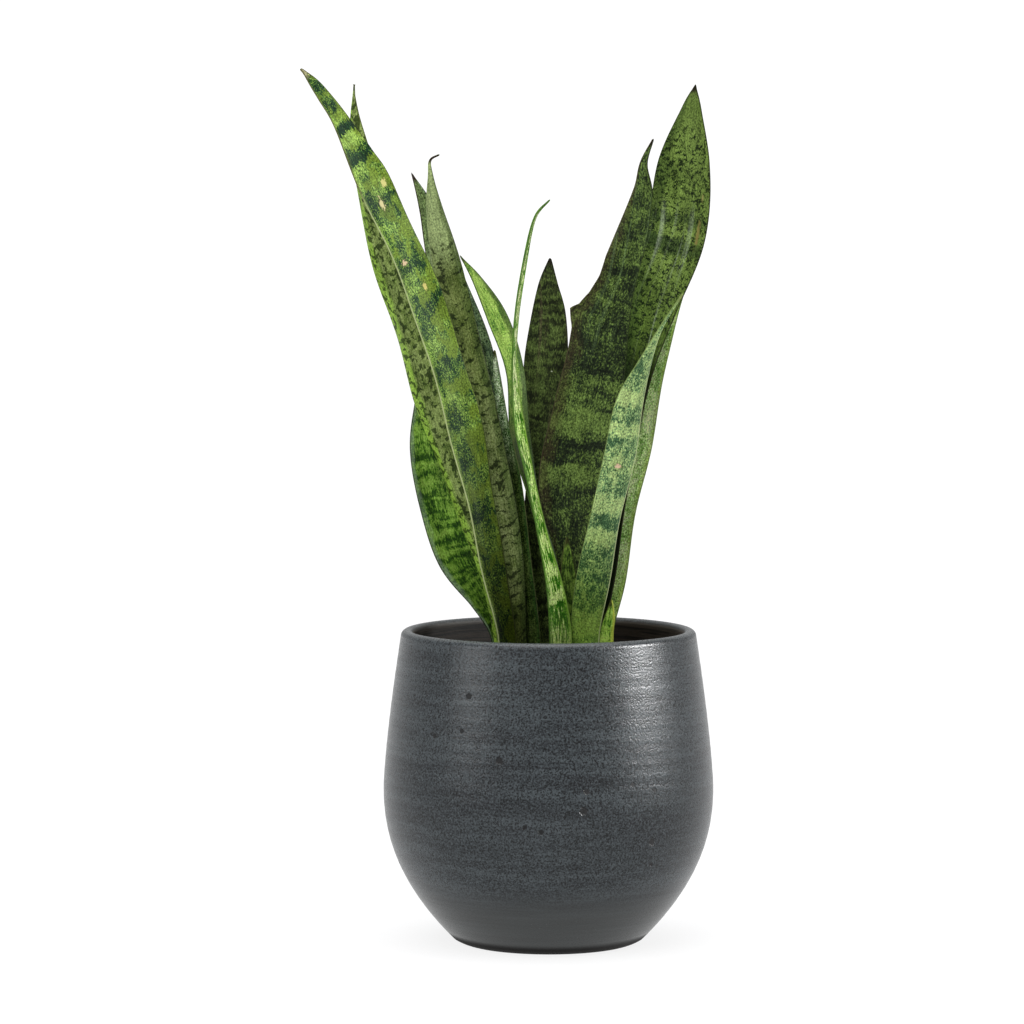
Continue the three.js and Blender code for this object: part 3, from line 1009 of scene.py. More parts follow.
def put_uv(mesh: bpy.types.Mesh, name: str, places: np.ndarray) -> None:
    """Stores a flat place for each vertex as a UV map.

    Args:
        mesh: the mesh.
        name: the map's name.
        places: the places, in the order of the vertices.
    """
    layer = mesh.uv_layers.new(name=name)
    corners = np.empty(len(mesh.loops), np.int32)
    mesh.loops.foreach_get("vertex_index", corners)
    layer.data.foreach_set("uv", places[corners].astype(np.float32).ravel())


def tube_faces(rings: int, around: int) -> np.ndarray:
    """Faces of a tube of rings closed by a pole at each end.

    Vertex 0 is the first pole, then come the rings, and the last vertex is the other pole. The faces
    look out where the rings run anticlockwise as seen from the last pole.

    Args:
        rings: how many rings there are.
        around: how many vertices a ring has.

    Returns:
        A row of four corners for each face, with -1 last on triangles.
    """
    j = np.arange(around)
    turn = np.roll(j, -1)
    k = np.arange(rings - 1)[:, None] * around + 1
    quads = np.stack([k + j, k + turn, k + turn + around, k + j + around], axis=-1).reshape(-1, 4)
    none = np.full(around, -1)
    start = np.stack([np.zeros(around, int), 1 + turn, 1 + j, none], axis=-1)
    last = 1 + (rings - 1) * around
    end = np.stack([np.full(around, last + around), last + j, last + turn, none], axis=-1)
    return np.concatenate([start, quads, end])


def curve_through(rows: np.ndarray, shares: np.ndarray) -> tuple[np.ndarray, np.ndarray]:
    """A uniform Catmull-Rom curve through rows of values.

    Between rows it is the cubic whose end slopes are half the difference of the neighbours, with one
    more row past each end, mirrored from its neighbour.

    Args:
        rows: the values to pass through, a row for each station.
        shares: where to read the curve, 0 at the first row and 1 at the last.

    Returns:
        The values and their slopes, a row for each share.
    """
    padded = np.concatenate([[2 * rows[0] - rows[1]], rows, [2 * rows[-1] - rows[-2]]])
    run = shares * (len(rows) - 1)
    first = np.minimum(run.astype(int), len(rows) - 2)
    t = (run - first)[:, None]
    before, start, end, after = (padded[first + i] for i in range(4))
    slope, next_slope = (end - before) / 2, (after - start) / 2
    square = -3 * start + 3 * end - 2 * slope - next_slope
    cube = 2 * start - 2 * end + slope + next_slope
    values = start + slope * t + square * t**2 + cube * t**3
    return values, slope + 2 * square * t + 3 * cube * t**2


@dataclass
class Leaf:
    """One sword-shaped leaf, as a bent blade along its stations.

    A station is [x, y, z, width, facing, fold] in millimetres and degrees. Facing is the way the upper
    face looks, from the front towards +X, and fold is the arc that the section bends through. Below
    the first station the blade goes straight down to the end of its foot in the soil. A margin's
    pairs are a height and how far the left margin is drawn out there.
    """

    name: str
    stations: tuple[tuple[float, ...], ...]
    skin: LeafSkin
    slot: str = "leaf_green"
    wave: float = 0.0
    phase: float = 0.0
    columns: int = 24
    sections: int = 230
    seed: float = 0.0
    margin: tuple[tuple[float, float], ...] = ((0, 0),)

    THICKNESS_AT_FOOT = 3.8
    THICKNESS_AT_TIP = 1.3
    MARGIN_THICKNESS = 0.9
    WAVE_LENGTH = 95.0
    WAVE_SKEW = 1.3
    FOOT_END = 170.0
    SOIL_EXIT = 188.0
    WAVE_GROWTH = 60.0
    ROUNDING = 0.55
    TIP_ROUNDING = 1.2
    TIP_CLOSING = 0.05
    LOWER_SHIFT = 50

    def _surface(self) -> tuple[np.ndarray, dict[str, np.ndarray]]:
        """Works out the blade's vertices, in millimetres.

        A section is the arc middle = place + across r sin b + upward (r (1 - cos b) + ripple), where b
        is side times half the fold and r the half width over half the fold. The skin lies half the
        thickness to each side of it, which falls as 1 - side^2 and rounds off to nothing at the margin.

        Returns:
            Points of shape (sections, ring, 3), and what the materials read there.
        """
        rows = np.array((self.stations[0], *self.stations), float)
        rows[0, 2] = self.FOOT_END
        even = np.linspace(0, 1, self.sections)
        place, slope = curve_through(rows[:, :3], even)
        form, _ = curve_through(rows[:, 3:], even)
        tangent = slope / np.linalg.norm(slope, axis=1, keepdims=True)
        steps = np.linalg.norm(np.diff(place, axis=0), axis=1)
        distance = np.concatenate([[0], np.cumsum(steps)])

        facing = np.radians(form[:, 1])
        look = np.stack([np.sin(facing), -np.cos(facing), np.zeros_like(facing)], axis=1)
        upward = look - tangent * (look * tangent).sum(axis=1, keepdims=True)
        upward /= np.linalg.norm(upward, axis=1, keepdims=True)
        across = np.cross(tangent, upward)

        left = np.clip((distance[-1] - distance) / self.TIP_ROUNDING, 0, 1)
        closing = np.sqrt(1 - (1 - left) ** 2)
        half_width = np.maximum(form[:, 0], rows[-1, 3]) / 2 * np.maximum(closing, self.TIP_CLOSING)
        half_fold = np.radians(form[:, 2]) / 2
        radius = half_width / half_fold
        thickness = self.THICKNESS_AT_FOOT + (self.THICKNESS_AT_TIP - self.THICKNESS_AT_FOOT) * even

        side = np.sin(np.linspace(-np.pi / 2, np.pi / 2, self.columns + 1))
        side = np.concatenate([side, side[-2:0:-1]])
        face = np.concatenate([np.ones(self.columns + 1), -np.ones(self.columns - 1)])
        face[[0, self.columns]] = 0

        growth = smoothstep(place[:, 2], self.SOIL_EXIT, self.SOIL_EXIT + self.WAVE_GROWTH)
        turn = 2 * np.pi * distance / self.WAVE_LENGTH + self.phase
        swell = np.sin(turn[:, None] + self.WAVE_SKEW * side)
        ripple = self.wave * growth[:, None] * side**2 * swell
        bend = half_fold[:, None] * side
        drawn = np.interp(place[:, 2], *np.array(self.margin, float).T)
        shift = radius[:, None] * np.sin(bend) - drawn[:, None] * np.where(side < 0, side**2, 0)
        lift = radius[:, None] * (1 - np.cos(bend)) + ripple
        edge = half_width[:, None] * (1 - np.abs(side))
        rounding = np.sqrt(1 - (1 - np.clip(edge / self.ROUNDING, 0, 1)) ** 2)
        swollen = (thickness[:, None] - self.MARGIN_THICKNESS) * (1 - side**2)
        half = (self.MARGIN_THICKNESS + swollen) / 2 * rounding * closing[:, None] * face

        middle = place[:, None] + across[:, None] * shift[..., None] + upward[:, None] * lift[..., None]
        outward = upward[:, None] * np.cos(bend)[..., None] - across[:, None] * np.sin(bend)[..., None]
        shape = np.broadcast_to(side, half.shape)
        values = {
            "across": shape,
            "edge": edge,
            "height": np.broadcast_to(place[:, 2:3] / MM_PER_CM, half.shape),
            "wide": half_width[:, None] * shape / MM_PER_CM,
            "long": np.broadcast_to(distance[:, None] / MM_PER_CM, half.shape),
        }
        return middle + outward * half[..., None], values

    def build(self, effects: SharedEffects) -> bpy.types.Object:
        """Makes the blade's mesh and dresses it.

        Args:
            effects: the shared node groups.

        Returns:
            The finished blade, standing for its CAD node.
        """
        grid, values = self._surface()
        rings, around = grid.shape[:2]
        poles = grid[[0, -1]].mean(axis=1)
        points = np.concatenate([poles[:1], grid.reshape(-1, 3), poles[1:]]) * MM
        faces = tube_faces(rings, around)
        column = np.tile(np.arange(around), rings - 1)
        ends = np.zeros(around, int)
        slots = np.concatenate([ends, (column >= self.columns).astype(int), ends])
        piece = put_mesh(self.name.replace("leaf", "blade"), points, faces, slots)

        flat = {
            key: np.concatenate([[rows[0].mean()], rows.ravel(), [rows[-1].mean()]])
            for key, rows in values.items()
        }
        for key in ("across", "edge", "height"):
            put_values(piece.data, key, flat[key])
        put_uv(piece.data, "blade", np.stack([flat["wide"], flat["long"]], axis=1))

        look, tip_height = self.name.removeprefix("leaf_"), self.stations[-1][2]
        sides = (("upper", self.skin.upper, 0), ("lower", self.skin.lower, self.LOWER_SHIFT))
        for face, tone, shift in sides:
            seed = self.seed + shift
            finish = BladeFinish(f"{look}_{face}_skin", effects, self.skin, tone, seed, tip_height)
            piece.data.materials.append(finish.material())
        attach(piece, BODY)
        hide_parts(self.name)
        return piece


@dataclass(frozen=True)
class Stoneware:
    """Matte anthracite stoneware: brushed rings, fine specks, pinholes and a warmer, smoother foot.

    Colours are sRGB and sizes millimetres. A pinhole is its angle from the front towards +X in
    degrees, its height and its size. A step is where it starts and where it is full: heights in
    centimetres, and levels of a noise. The light line on the lip's crest is a painted highlight, and
    the dark line along the foot's bottom edge is painted shade.
    """

    body: Colour = (46, 51, 54)
    pale_ring: Colour = (60, 66, 69)
    dark_ring: Colour = (31, 34, 37)
    speck: Colour = (7, 8, 9)
    glint: Colour = (90, 98, 102)
    foot: Colour = (58, 60, 59)
    inside: Colour = (36, 33, 28)
    inside_ring: Colour = (68, 61, 52)
    # Painted highlight: the thin light line along the lip's crest.
    painted_lip_highlight: Colour = (116, 120, 120)
    # Painted shade: the dark line along the bottom edge of the foot, where it meets the floor.
    contact_shade: Colour = (12, 10, 9)
    pinholes: tuple[tuple[float, float, float], ...] = (
        (12, 105, 2.9), (-17, 138, 2.6), (-30, 179, 2.1), (38.5, 81, 2.7), (13, 118, 1.9),
        (30, 121, 1.8), (-44, 151, 2.0), (39, 116, 1.7), (-2.5, 91, 2.0), (-32, 156, 1.7),
        (-8, 94, 1.6), (40, 65, 1.6),
        (96, 120, 1.4), (143, 70, 1.8), (187, 134, 1.2), (228, 92, 1.6), (281, 57, 1.1),
    )

    BROAD_RINGS = (0.10, 0.10, 1.1)
    THIN_RINGS = (0.22, 0.22, 6.0)
    BROAD_WEIGHT, THIN_WEIGHT = 0.75, 0.45
    PALE_STEP = (0.58, 0.74)
    DARK_STEP = (0.44, 0.58)
    DARK_STRENGTH = 0.8
    SPECK_SCALE = 8.5
    SPECK_ROUGH = 0.6
    SPECK_STEP = (0.4, 0.47)
    SPECK_STRENGTH = 0.88
    GLINT_STEP = (0.52, 0.64)
    GLINT_STRENGTH = 0.42
    GLAZED_STEP = (2.6, 5.5)
    FOOT_STRENGTH = 0.75
    # Heights of the painted shade along the foot's bottom edge.
    CONTACT_STEP = (0.9, 0.4)
    INSIDE_STEP = (0.4, 0.6)
    # Where the lip's painted highlight starts and is full, and how strong it is.
    LIP_STEP = (21.3, 21.48)
    LIP_STRENGTH = 0.3
    PIT_TONE = (8, 8, 9)
    PIT_STRENGTH = 0.95
    PIT_RAGGED = 0.5
    ROUGHNESS, SPECK_ROUGHNESS, INSIDE_ROUGHNESS, PIT_ROUGHNESS = 0.14, 0.3, 0.6, 0.3
    RING_RELIEF, PIT_DEPTH = 0.4, 2.5
    RELIEF_STRENGTH, RELIEF_DEPTH = 0.8, 0.3
    SPECULAR = 0.27

    def material(self, effects: SharedEffects, pot: Pot) -> bpy.types.Material:
        """Builds the pot's material from its place in the pot, in centimetres.

        Args:
            effects: the shared node groups.
            pot: gives the radius where a pinhole lies.

        Returns:
            The material.
        """
        material, graph, shader = new_material("anthracite_stoneware")
        place = graph.object_place(CM_PER_M)
        inside = graph.attribute("inside")
        height = graph.attribute("height")
        glazed = graph.rise(height, *self.GLAZED_STEP)

        broad = graph.noise(graph.squeezed(place, self.BROAD_RINGS))
        thin = graph.noise(graph.squeezed(place, self.THIN_RINGS))
        rings = graph.math("MULTIPLY_ADD", thin, self.THIN_WEIGHT, graph.times(broad, self.BROAD_WEIGHT))
        colour = graph.tint(linear(self.body), graph.rise(rings, *self.PALE_STEP), self.pale_ring)
        colour = graph.tint(colour, graph.fall(rings, *self.DARK_STEP), self.dark_ring, self.DARK_STRENGTH)

        specks = graph.noise(place, self.SPECK_SCALE, 2.0, self.SPECK_ROUGH)
        low = graph.times(graph.fall(specks, *self.SPECK_STEP), glazed)
        high = graph.times(graph.rise(specks, *self.GLINT_STEP), glazed)
        colour = graph.tint(colour, low, self.speck, self.SPECK_STRENGTH)
        colour = graph.tint(colour, high, self.glint, self.GLINT_STRENGTH)
        colour = graph.tint(colour, graph.math("SUBTRACT", 1.0, glazed), self.foot, self.FOOT_STRENGTH)
        # Painted shade darkens the bottom few millimetres of the foot; the same mask dulls it.
        contact_shade = graph.rise(height, *self.CONTACT_STEP)
        colour = graph.tint(colour, contact_shade, self.contact_shade)
        shade = graph.tint(linear(self.inside), graph.rise(thin, *self.INSIDE_STEP), self.inside_ring)
        colour = graph.blend(inside, colour, shade)
        # The lip's crest gets a painted highlight.
        colour = graph.tint(colour, graph.rise(height, *self.LIP_STEP), self.painted_lip_highlight, self.LIP_STRENGTH)
        pits = self._pits(graph, effects, pot, place)
        colour = graph.tint(colour, pits, self.PIT_TONE, self.PIT_STRENGTH)
        graph.feed(shader.inputs["Base Color"], colour)

        rough = graph.math("MULTIPLY_ADD", specks, self.SPECK_ROUGHNESS, self.ROUGHNESS)
        dull = graph.math("MAXIMUM", inside, contact_shade)
        rough = graph.math("MULTIPLY_ADD", dull, self.INSIDE_ROUGHNESS, rough)
        rough = graph.math("MULTIPLY_ADD", pits, self.PIT_ROUGHNESS, rough)
        graph.feed(shader.inputs["Roughness"], rough)
        relief = graph.math("MULTIPLY_ADD", thin, self.RING_RELIEF, graph.times(specks, glazed))
        relief = graph.math("SUBTRACT", relief, graph.times(pits, self.PIT_DEPTH))
        bent = graph.bump(relief, self.RELIEF_STRENGTH, self.RELIEF_DEPTH)
        graph.feed(shader.inputs["Normal"], bent)
        shader.inputs["Specular IOR Level"].default_value = self.SPECULAR
        return material

    def _pits(self, graph: Graph, effects: SharedEffects, pot: Pot, place: Socket) -> Socket:
        """A mask of all the pinholes, each a ragged spot on the pot's outside.

        Args:
            graph: the material's graph.
            effects: the shared node groups.
            pot: gives the radius where a pinhole lies.
            place: the place in the pot, in centimetres.

        Returns:
            The mask.
        """
        pits: Socket = graph.add("Value").outputs[0]
        for angle, level, size in self.pinholes:
            turn = math.radians(angle)
            radius = float(pot.outer_radius(np.array(level))) / MM_PER_CM
            centre = (radius * math.sin(turn), -radius * math.cos(turn), level / MM_PER_CM)
            pit = graph.effect(effects.spot, Place=place, Centre=centre, Size=size / MM_PER_CM,
                               Ragged=self.PIT_RAGGED)[0]
            pits = graph.math("MAXIMUM", pits, pit)
        return pits


@dataclass
class Pot:
    """The thrown pot, a profile turned round the Z axis. Sizes are in millimetres."""

    height: float = 215.0
    foot_radius: float = 62.5
    foot_edge: float = 4.5
    belly_radius: float = 113.2
    belly_height: float = 107.0
    belly_power: float = 2.2
    rim_radius: float = 100.5
    shoulder_power: float = 1.35
    wall: float = 9.0
    floor: float = 14.0
    ring_depth: float = 0.12
    around: int = 260
    finish: Stoneware = Stoneware()

    # Weight and pitch of each set of throwing rings, and how much a slow wave shifts it.
    RING_WAVES = ((0.55, 9.4, 1), (0.30, 4.3, 2), (0.15, 15.8, 0))

    def outer_radius(self, height: np.ndarray) -> np.ndarray:
        """Radius outside at a height: a power curve falls from the belly to the foot and to the rim.

        Args:
            height: one or more heights.

        Returns:
            The radius at each.
        """
        below = np.clip((self.belly_height - height) / self.belly_height, 0, 1)
        above = np.clip((height - self.belly_height) / (self.height - self.belly_height), 0, 1)
        drop = (self.belly_radius - self.foot_radius) * below**self.belly_power
        return self.belly_radius - drop - (self.belly_radius - self.rim_radius) * above**self.shoulder_power

    def _profile(self) -> tuple[np.ndarray, np.ndarray, np.ndarray]:
        """The closed profile, from the foot up the outside, over the lip and down the inside.

        Returns:
            Radius and height of each point, and how far inside it is, 0 to 1.
        """
        lip = self.wall / 2
        shoulder = self.height - lip
        flat = np.linspace(5, self.foot_radius - self.foot_edge, 12)
        edge = np.linspace(0, 1, 7)[1:-1]
        first = 3.0
        bottom = (1 - edge) * flat[-1] + edge * self.outer_radius(first) + 0.8 * edge * (1 - edge)
        outside = np.concatenate([np.linspace(first, 24, 14), np.linspace(25.5, shoulder, 122)])
        turn = np.linspace(0, np.pi, 19)[1:-1]
        centre = self.outer_radius(shoulder) - lip
        inside = np.linspace(shoulder, self.floor + 8, 80)
        inner_floor = np.linspace(self.outer_radius(self.floor) - self.wall - 8, 5, 10)
        radius = np.concatenate([
            flat, bottom, self.outer_radius(outside), centre + lip * np.cos(turn),
            self.outer_radius(inside) - self.wall, inner_floor,
        ])
        height = np.concatenate([
            np.zeros_like(flat), first * edge**1.4, outside, shoulder + lip * np.sin(turn),
            inside, np.full_like(inner_floor, self.floor),
        ])
        inner = np.concatenate([
            np.zeros(len(flat) + len(edge) + len(outside)), smoothstep(turn / np.pi, 0.62, 0.98),
            np.ones(len(inside) + len(inner_floor)),
        ])
        return radius, height, inner

    def _ring_relief(self, height: np.ndarray, angle: np.ndarray) -> np.ndarray:
        """Throwing rings, 0 to 1: three raised cosines whose phase climbs one turn with the angle.

        Args:
            height: heights, in a column.
            angle: angles round the pot, in radians.

        Returns:
            The relief, a row for each height.
        """
        slow = 1.3 * np.sin(height / 11)
        rings = 0.0
        for weight, pitch, drift in self.RING_WAVES:
            rings = rings + weight * (1 - np.cos(2 * np.pi * height / pitch + angle + drift * slow))
        return rings / 2

    def build(self, effects: SharedEffects) -> bpy.types.Object:
        """Turns the profile into the pot and dresses it.

        Args:
            effects: the shared node groups.

        Returns:
            The finished pot, standing for its CAD node.
        """
        radius, height, inner = self._profile()
        angle = np.linspace(0, 2 * np.pi, self.around, endpoint=False)
        window = smoothstep(height, 8, 30) * (1 - smoothstep(height, 196, 208))
        relief = self.ring_depth * window[:, None] * self._ring_relief(height[:, None], angle)
        inward = np.where(inner[:, None] > 0.5, -1.0, 1.0)
        spread = radius[:, None] - relief * inward
        level = np.broadcast_to(height[:, None], spread.shape)
        grid = np.stack([spread * np.cos(angle), spread * np.sin(angle), level], axis=-1)
        poles = np.array([[0, 0, 0], [0, 0, self.floor]])
        points = np.concatenate([poles[:1], grid.reshape(-1, 3), poles[1:]]) * MM
        piece = put_mesh("thrown_pot", points, tube_faces(len(radius), self.around))
        put_values(piece.data, "inside", np.concatenate([[0], np.repeat(inner, self.around), [1]]))
        put_values(piece.data, "height", points[:, 2] * CM_PER_M)
        piece.data.materials.append(self.finish.material(effects, self))
        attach(piece, BODY)
        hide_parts("pot")
        return piece


class Crumb(Enum):
    """What a loose crumb of the mix is: its share, sRGB colour, and size from and to in millimetres."""

    PEAT = (0.62, (44, 32, 24), 1.4, 3.2)
    BARK = (0.24, (92, 62, 40), 2.2, 5.2)
    FIBRE = (0.08, (128, 96, 62), 3.0, 6.0)
    PERLITE = (0.06, (206, 202, 192), 1.2, 2.4)


@dataclass(frozen=True)
class PottingMix:
    """Moist dark mix. Colours are sRGB, and hollow is how bright a crumb's hollows are."""

    deep: Colour = (24, 17, 12)
    warm: Colour = (66, 47, 33)
    hollow: float = 0.45

    def bed(self) -> bpy.types.Material:
        """Builds the material of the soil under the crumbs: lumps in two browns, with fine grains.

        Returns:
            The material.
        """
        material, graph, shader = new_material("potting_mix_bed")
        place = graph.object_place()
        lumps = graph.noise(place, 420.0, 4.0)
        fine = graph.noise(place, 1500.0)
        colour = graph.tint(linear(self.deep), graph.rise(lumps, 0.35, 0.7), self.warm)
        graph.feed(shader.inputs["Base Color"], colour)
        shader.inputs["Roughness"].default_value = 0.95
        relief = graph.math("MULTIPLY_ADD", fine, 0.4, lumps)
        graph.feed(shader.inputs["Normal"], graph.bump(relief, 0.9, 2.0))
        return material

    def crumb(self, kind: Crumb) -> bpy.types.Material:
        """Builds the material of one kind of crumb: its colour, darker in the hollows of a fine grain.

        Args:
            kind: the kind of crumb.

        Returns:
            The material.
        """
        material, graph, shader = new_material(f"crumb_{kind.name.lower()}")
        tone = linear(kind.value[1])
        shade = (*(self.hollow * part for part in tone[:3]), 1.0)
        grain = graph.noise(graph.object_place(), 900.0, 3.0)
        graph.feed(shader.inputs["Base Color"], graph.blend(graph.rise(grain, 0.35, 0.65), shade, tone))
        shader.inputs["Roughness"].default_value = 0.9
        graph.feed(shader.inputs["Normal"], graph.bump(grain, 0.6, 0.5))
        return material


@dataclass
class Soil:
    """The mix that fills the pot: the CAD soil with its leaf holes, under a layer of loose crumbs.

    Sizes are in millimetres: the soil's level at the wall and its mound above that, the radius where
    the mound starts to fall, and how far out the crumbs lie.
    """

    level: float = 182.0
    mound: float = 3.0
    shoulder: float = 55.3
    reach: float = 90.0
    crumbs: int = 2600
    clearance: float = 2.0
    seed: int = 7
    mix: PottingMix = PottingMix()

    BALL_RINGS = 2
    BALL_SIDES = 6
    ROUGHNESS = 0.28
    SLIMMEST = 0.7
    SLIMMEST_FIBRE = 0.32
    FLATNESS = (0.35, 0.6)
    TILT = 0.25
    SINKING = 0.35

    def _height(self, radius: np.ndarray) -> np.ndarray:
        """Height of the soil at a radius: flat in the middle, then straight down to the pot's wall."""
        fall = np.clip((radius - self.shoulder) / (self.reach + 2 - self.shoulder), 0, 1)
        return self.level + self.mound * (1 - fall)

    def _places(self, leaves: list[Leaf]) -> tuple[np.ndarray, np.random.Generator]:
        """Even random places on the soil that keep clear of every leaf.

        A place is dropped where it falls in the leaf's own box at soil height: half its width plus the
        clearance across, and a few millimetres through.

        Args:
            leaves: the leaves that stand in the soil.

        Returns:
            The places and the generator that drew them.
        """
        draw = np.random.default_rng(self.seed)
        radius = (self.reach - 3) * np.sqrt(draw.random(self.crumbs))
        angle = 2 * np.pi * draw.random(self.crumbs)
        places = np.stack([radius * np.cos(angle), radius * np.sin(angle)], axis=1)
        free = np.ones(self.crumbs, bool)
        for leaf in leaves:
            x, y, _, width, facing, _ = leaf.stations[0]
            turn = math.radians(facing)
            away = places - (x, y)
            through = away @ (math.sin(turn), -math.cos(turn))
            across = away @ (math.cos(turn), math.sin(turn))
            beside = np.abs(across) < width / 2 + self.clearance
            free &= ~(beside & (np.abs(through - 1) < 3 + self.clearance))
        return places[free], draw

    @staticmethod
    def _turned(first: np.ndarray, second: np.ndarray, angle: np.ndarray) -> tuple[np.ndarray, np.ndarray]:
        """Two coordinates of the points, a row for each crumb, turned by the crumb's own angle."""
        cos, sin = np.cos(angle)[:, None], np.sin(angle)[:, None]
        return first * cos - second * sin, first * sin + second * cos

    def _crumb_layer(self, kind: Crumb, places: np.ndarray,
                     draw: np.random.Generator) -> bpy.types.Object:
        """Makes all the crumbs of one kind as one piece.

        Each crumb is a small ball of rings, roughened, squeezed to its own three sizes, tilted and
        turned at random, and laid with its middle a little above the soil.

        Args:
            kind: the kind of crumb.
            places: where they lie.
            draw: the random generator.

        Returns:
            The piece.
        """
        count = len(places)
        _, _, small, large = kind.value
        rings, sides = self.BALL_RINGS, self.BALL_SIDES
        polar = np.pi * np.arange(1, rings + 1) / (rings + 1)
        circle = 2 * np.pi * np.arange(sides) / sides
        ring = np.stack([
            np.outer(np.sin(polar), np.cos(circle)), np.outer(np.sin(polar), np.sin(circle)),
            np.outer(-np.cos(polar), np.ones(sides)),
        ], axis=-1).reshape(-1, 3)
        ball = np.concatenate([[[0, 0, -1]], ring, [[0, 0, 1]]])
        lumps = draw.standard_normal((count, len(ball), 1)).clip(-1.6, 1.6)
        shape = ball[None] * (1 + self.ROUGHNESS * lumps)
        slim = self.SLIMMEST_FIBRE if kind is Crumb.FIBRE else self.SLIMMEST
        long = draw.uniform(small, large, (count, 1)) / 2
        wide, high = draw.uniform(slim, slim + 0.25, count), draw.uniform(*self.FLATNESS, count)
        sizes = long * np.stack([np.ones(count), wide, high], axis=1)
        turn = 2 * np.pi * draw.random(count)
        tilt = draw.normal(0, self.TILT, count)
        x, y, z = np.moveaxis(shape * sizes[:, None], -1, 0)
        x, z = self._turned(x, z, -tilt)
        x, y = self._turned(x, y, turn)
        ground = self._height(np.hypot(*places.T)) + self.SINKING * sizes[:, 2]
        middle = np.concatenate([places, ground[:, None]], axis=1)
        points = np.stack([x, y, z], axis=-1) + middle[:, None]
        faces = tube_faces(rings, sides)
        shift = (np.arange(count) * len(ball))[:, None, None]
        many = np.where(faces[None] < 0, -1, faces[None] + shift).reshape(-1, 4)
        piece = put_mesh(f"soil_{kind.name.lower()}", points.reshape(-1, 3) * MM, many)
        piece.data.materials.append(self.mix.crumb(kind))
        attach(piece, BODY)
        return piece

    def build(self, bed: bpy.types.Object, leaves: list[Leaf]) -> list[bpy.types.Object]:
        """Dresses the CAD soil and strews the crumbs.

        Args:
            bed: the CAD node of the soil.
            leaves: the leaves that stand in it.

        Returns:
            The new pieces.
        """
        dress_node(bed, self.mix.bed())
        places, draw = self._places(leaves)
        ends = np.cumsum([round(kind.value[0] * len(places)) for kind in Crumb])
        parts = np.split(places, ends[:-1])
        return [self._crumb_layer(kind, part, draw) for kind, part in zip(Crumb, parts)]


@dataclass(frozen=True)
class RhizomeBark:
    """The ochre skin of the buried stem, ringed by old leaf scars. Colours are sRGB."""

    flesh: Colour = (196, 150, 84)
    scar: Colour = (118, 78, 40)

    def material(self) -> bpy.types.Material:
        """Builds the material: rings across the stem, which runs along X, over a blotched ground.

        Returns:
            The material.
        """
        material, graph, shader = new_material("rhizome_bark")
        place = graph.object_place()
        rings = graph.noise(graph.squeezed(place, (260, 30, 30)))
        blotches = graph.noise(place, 240.0, 3.0)
        share = graph.math("MULTIPLY_ADD", blotches, 0.4, graph.times(rings, 0.6))
        colour = graph.tint(linear(self.flesh), graph.rise(share, 0.45, 0.62), self.scar)
        graph.feed(shader.inputs["Base Color"], colour)
        shader.inputs["Roughness"].default_value = 0.7
        graph.feed(shader.inputs["Normal"], graph.bump(rings, 0.6, 0.6))
        return material


def dress_node(node: bpy.types.Object, material: bpy.types.Material) -> None:
    """Gives every material slot of a CAD node the same finish."""
    for slot in node.material_slots:
        slot.material = material


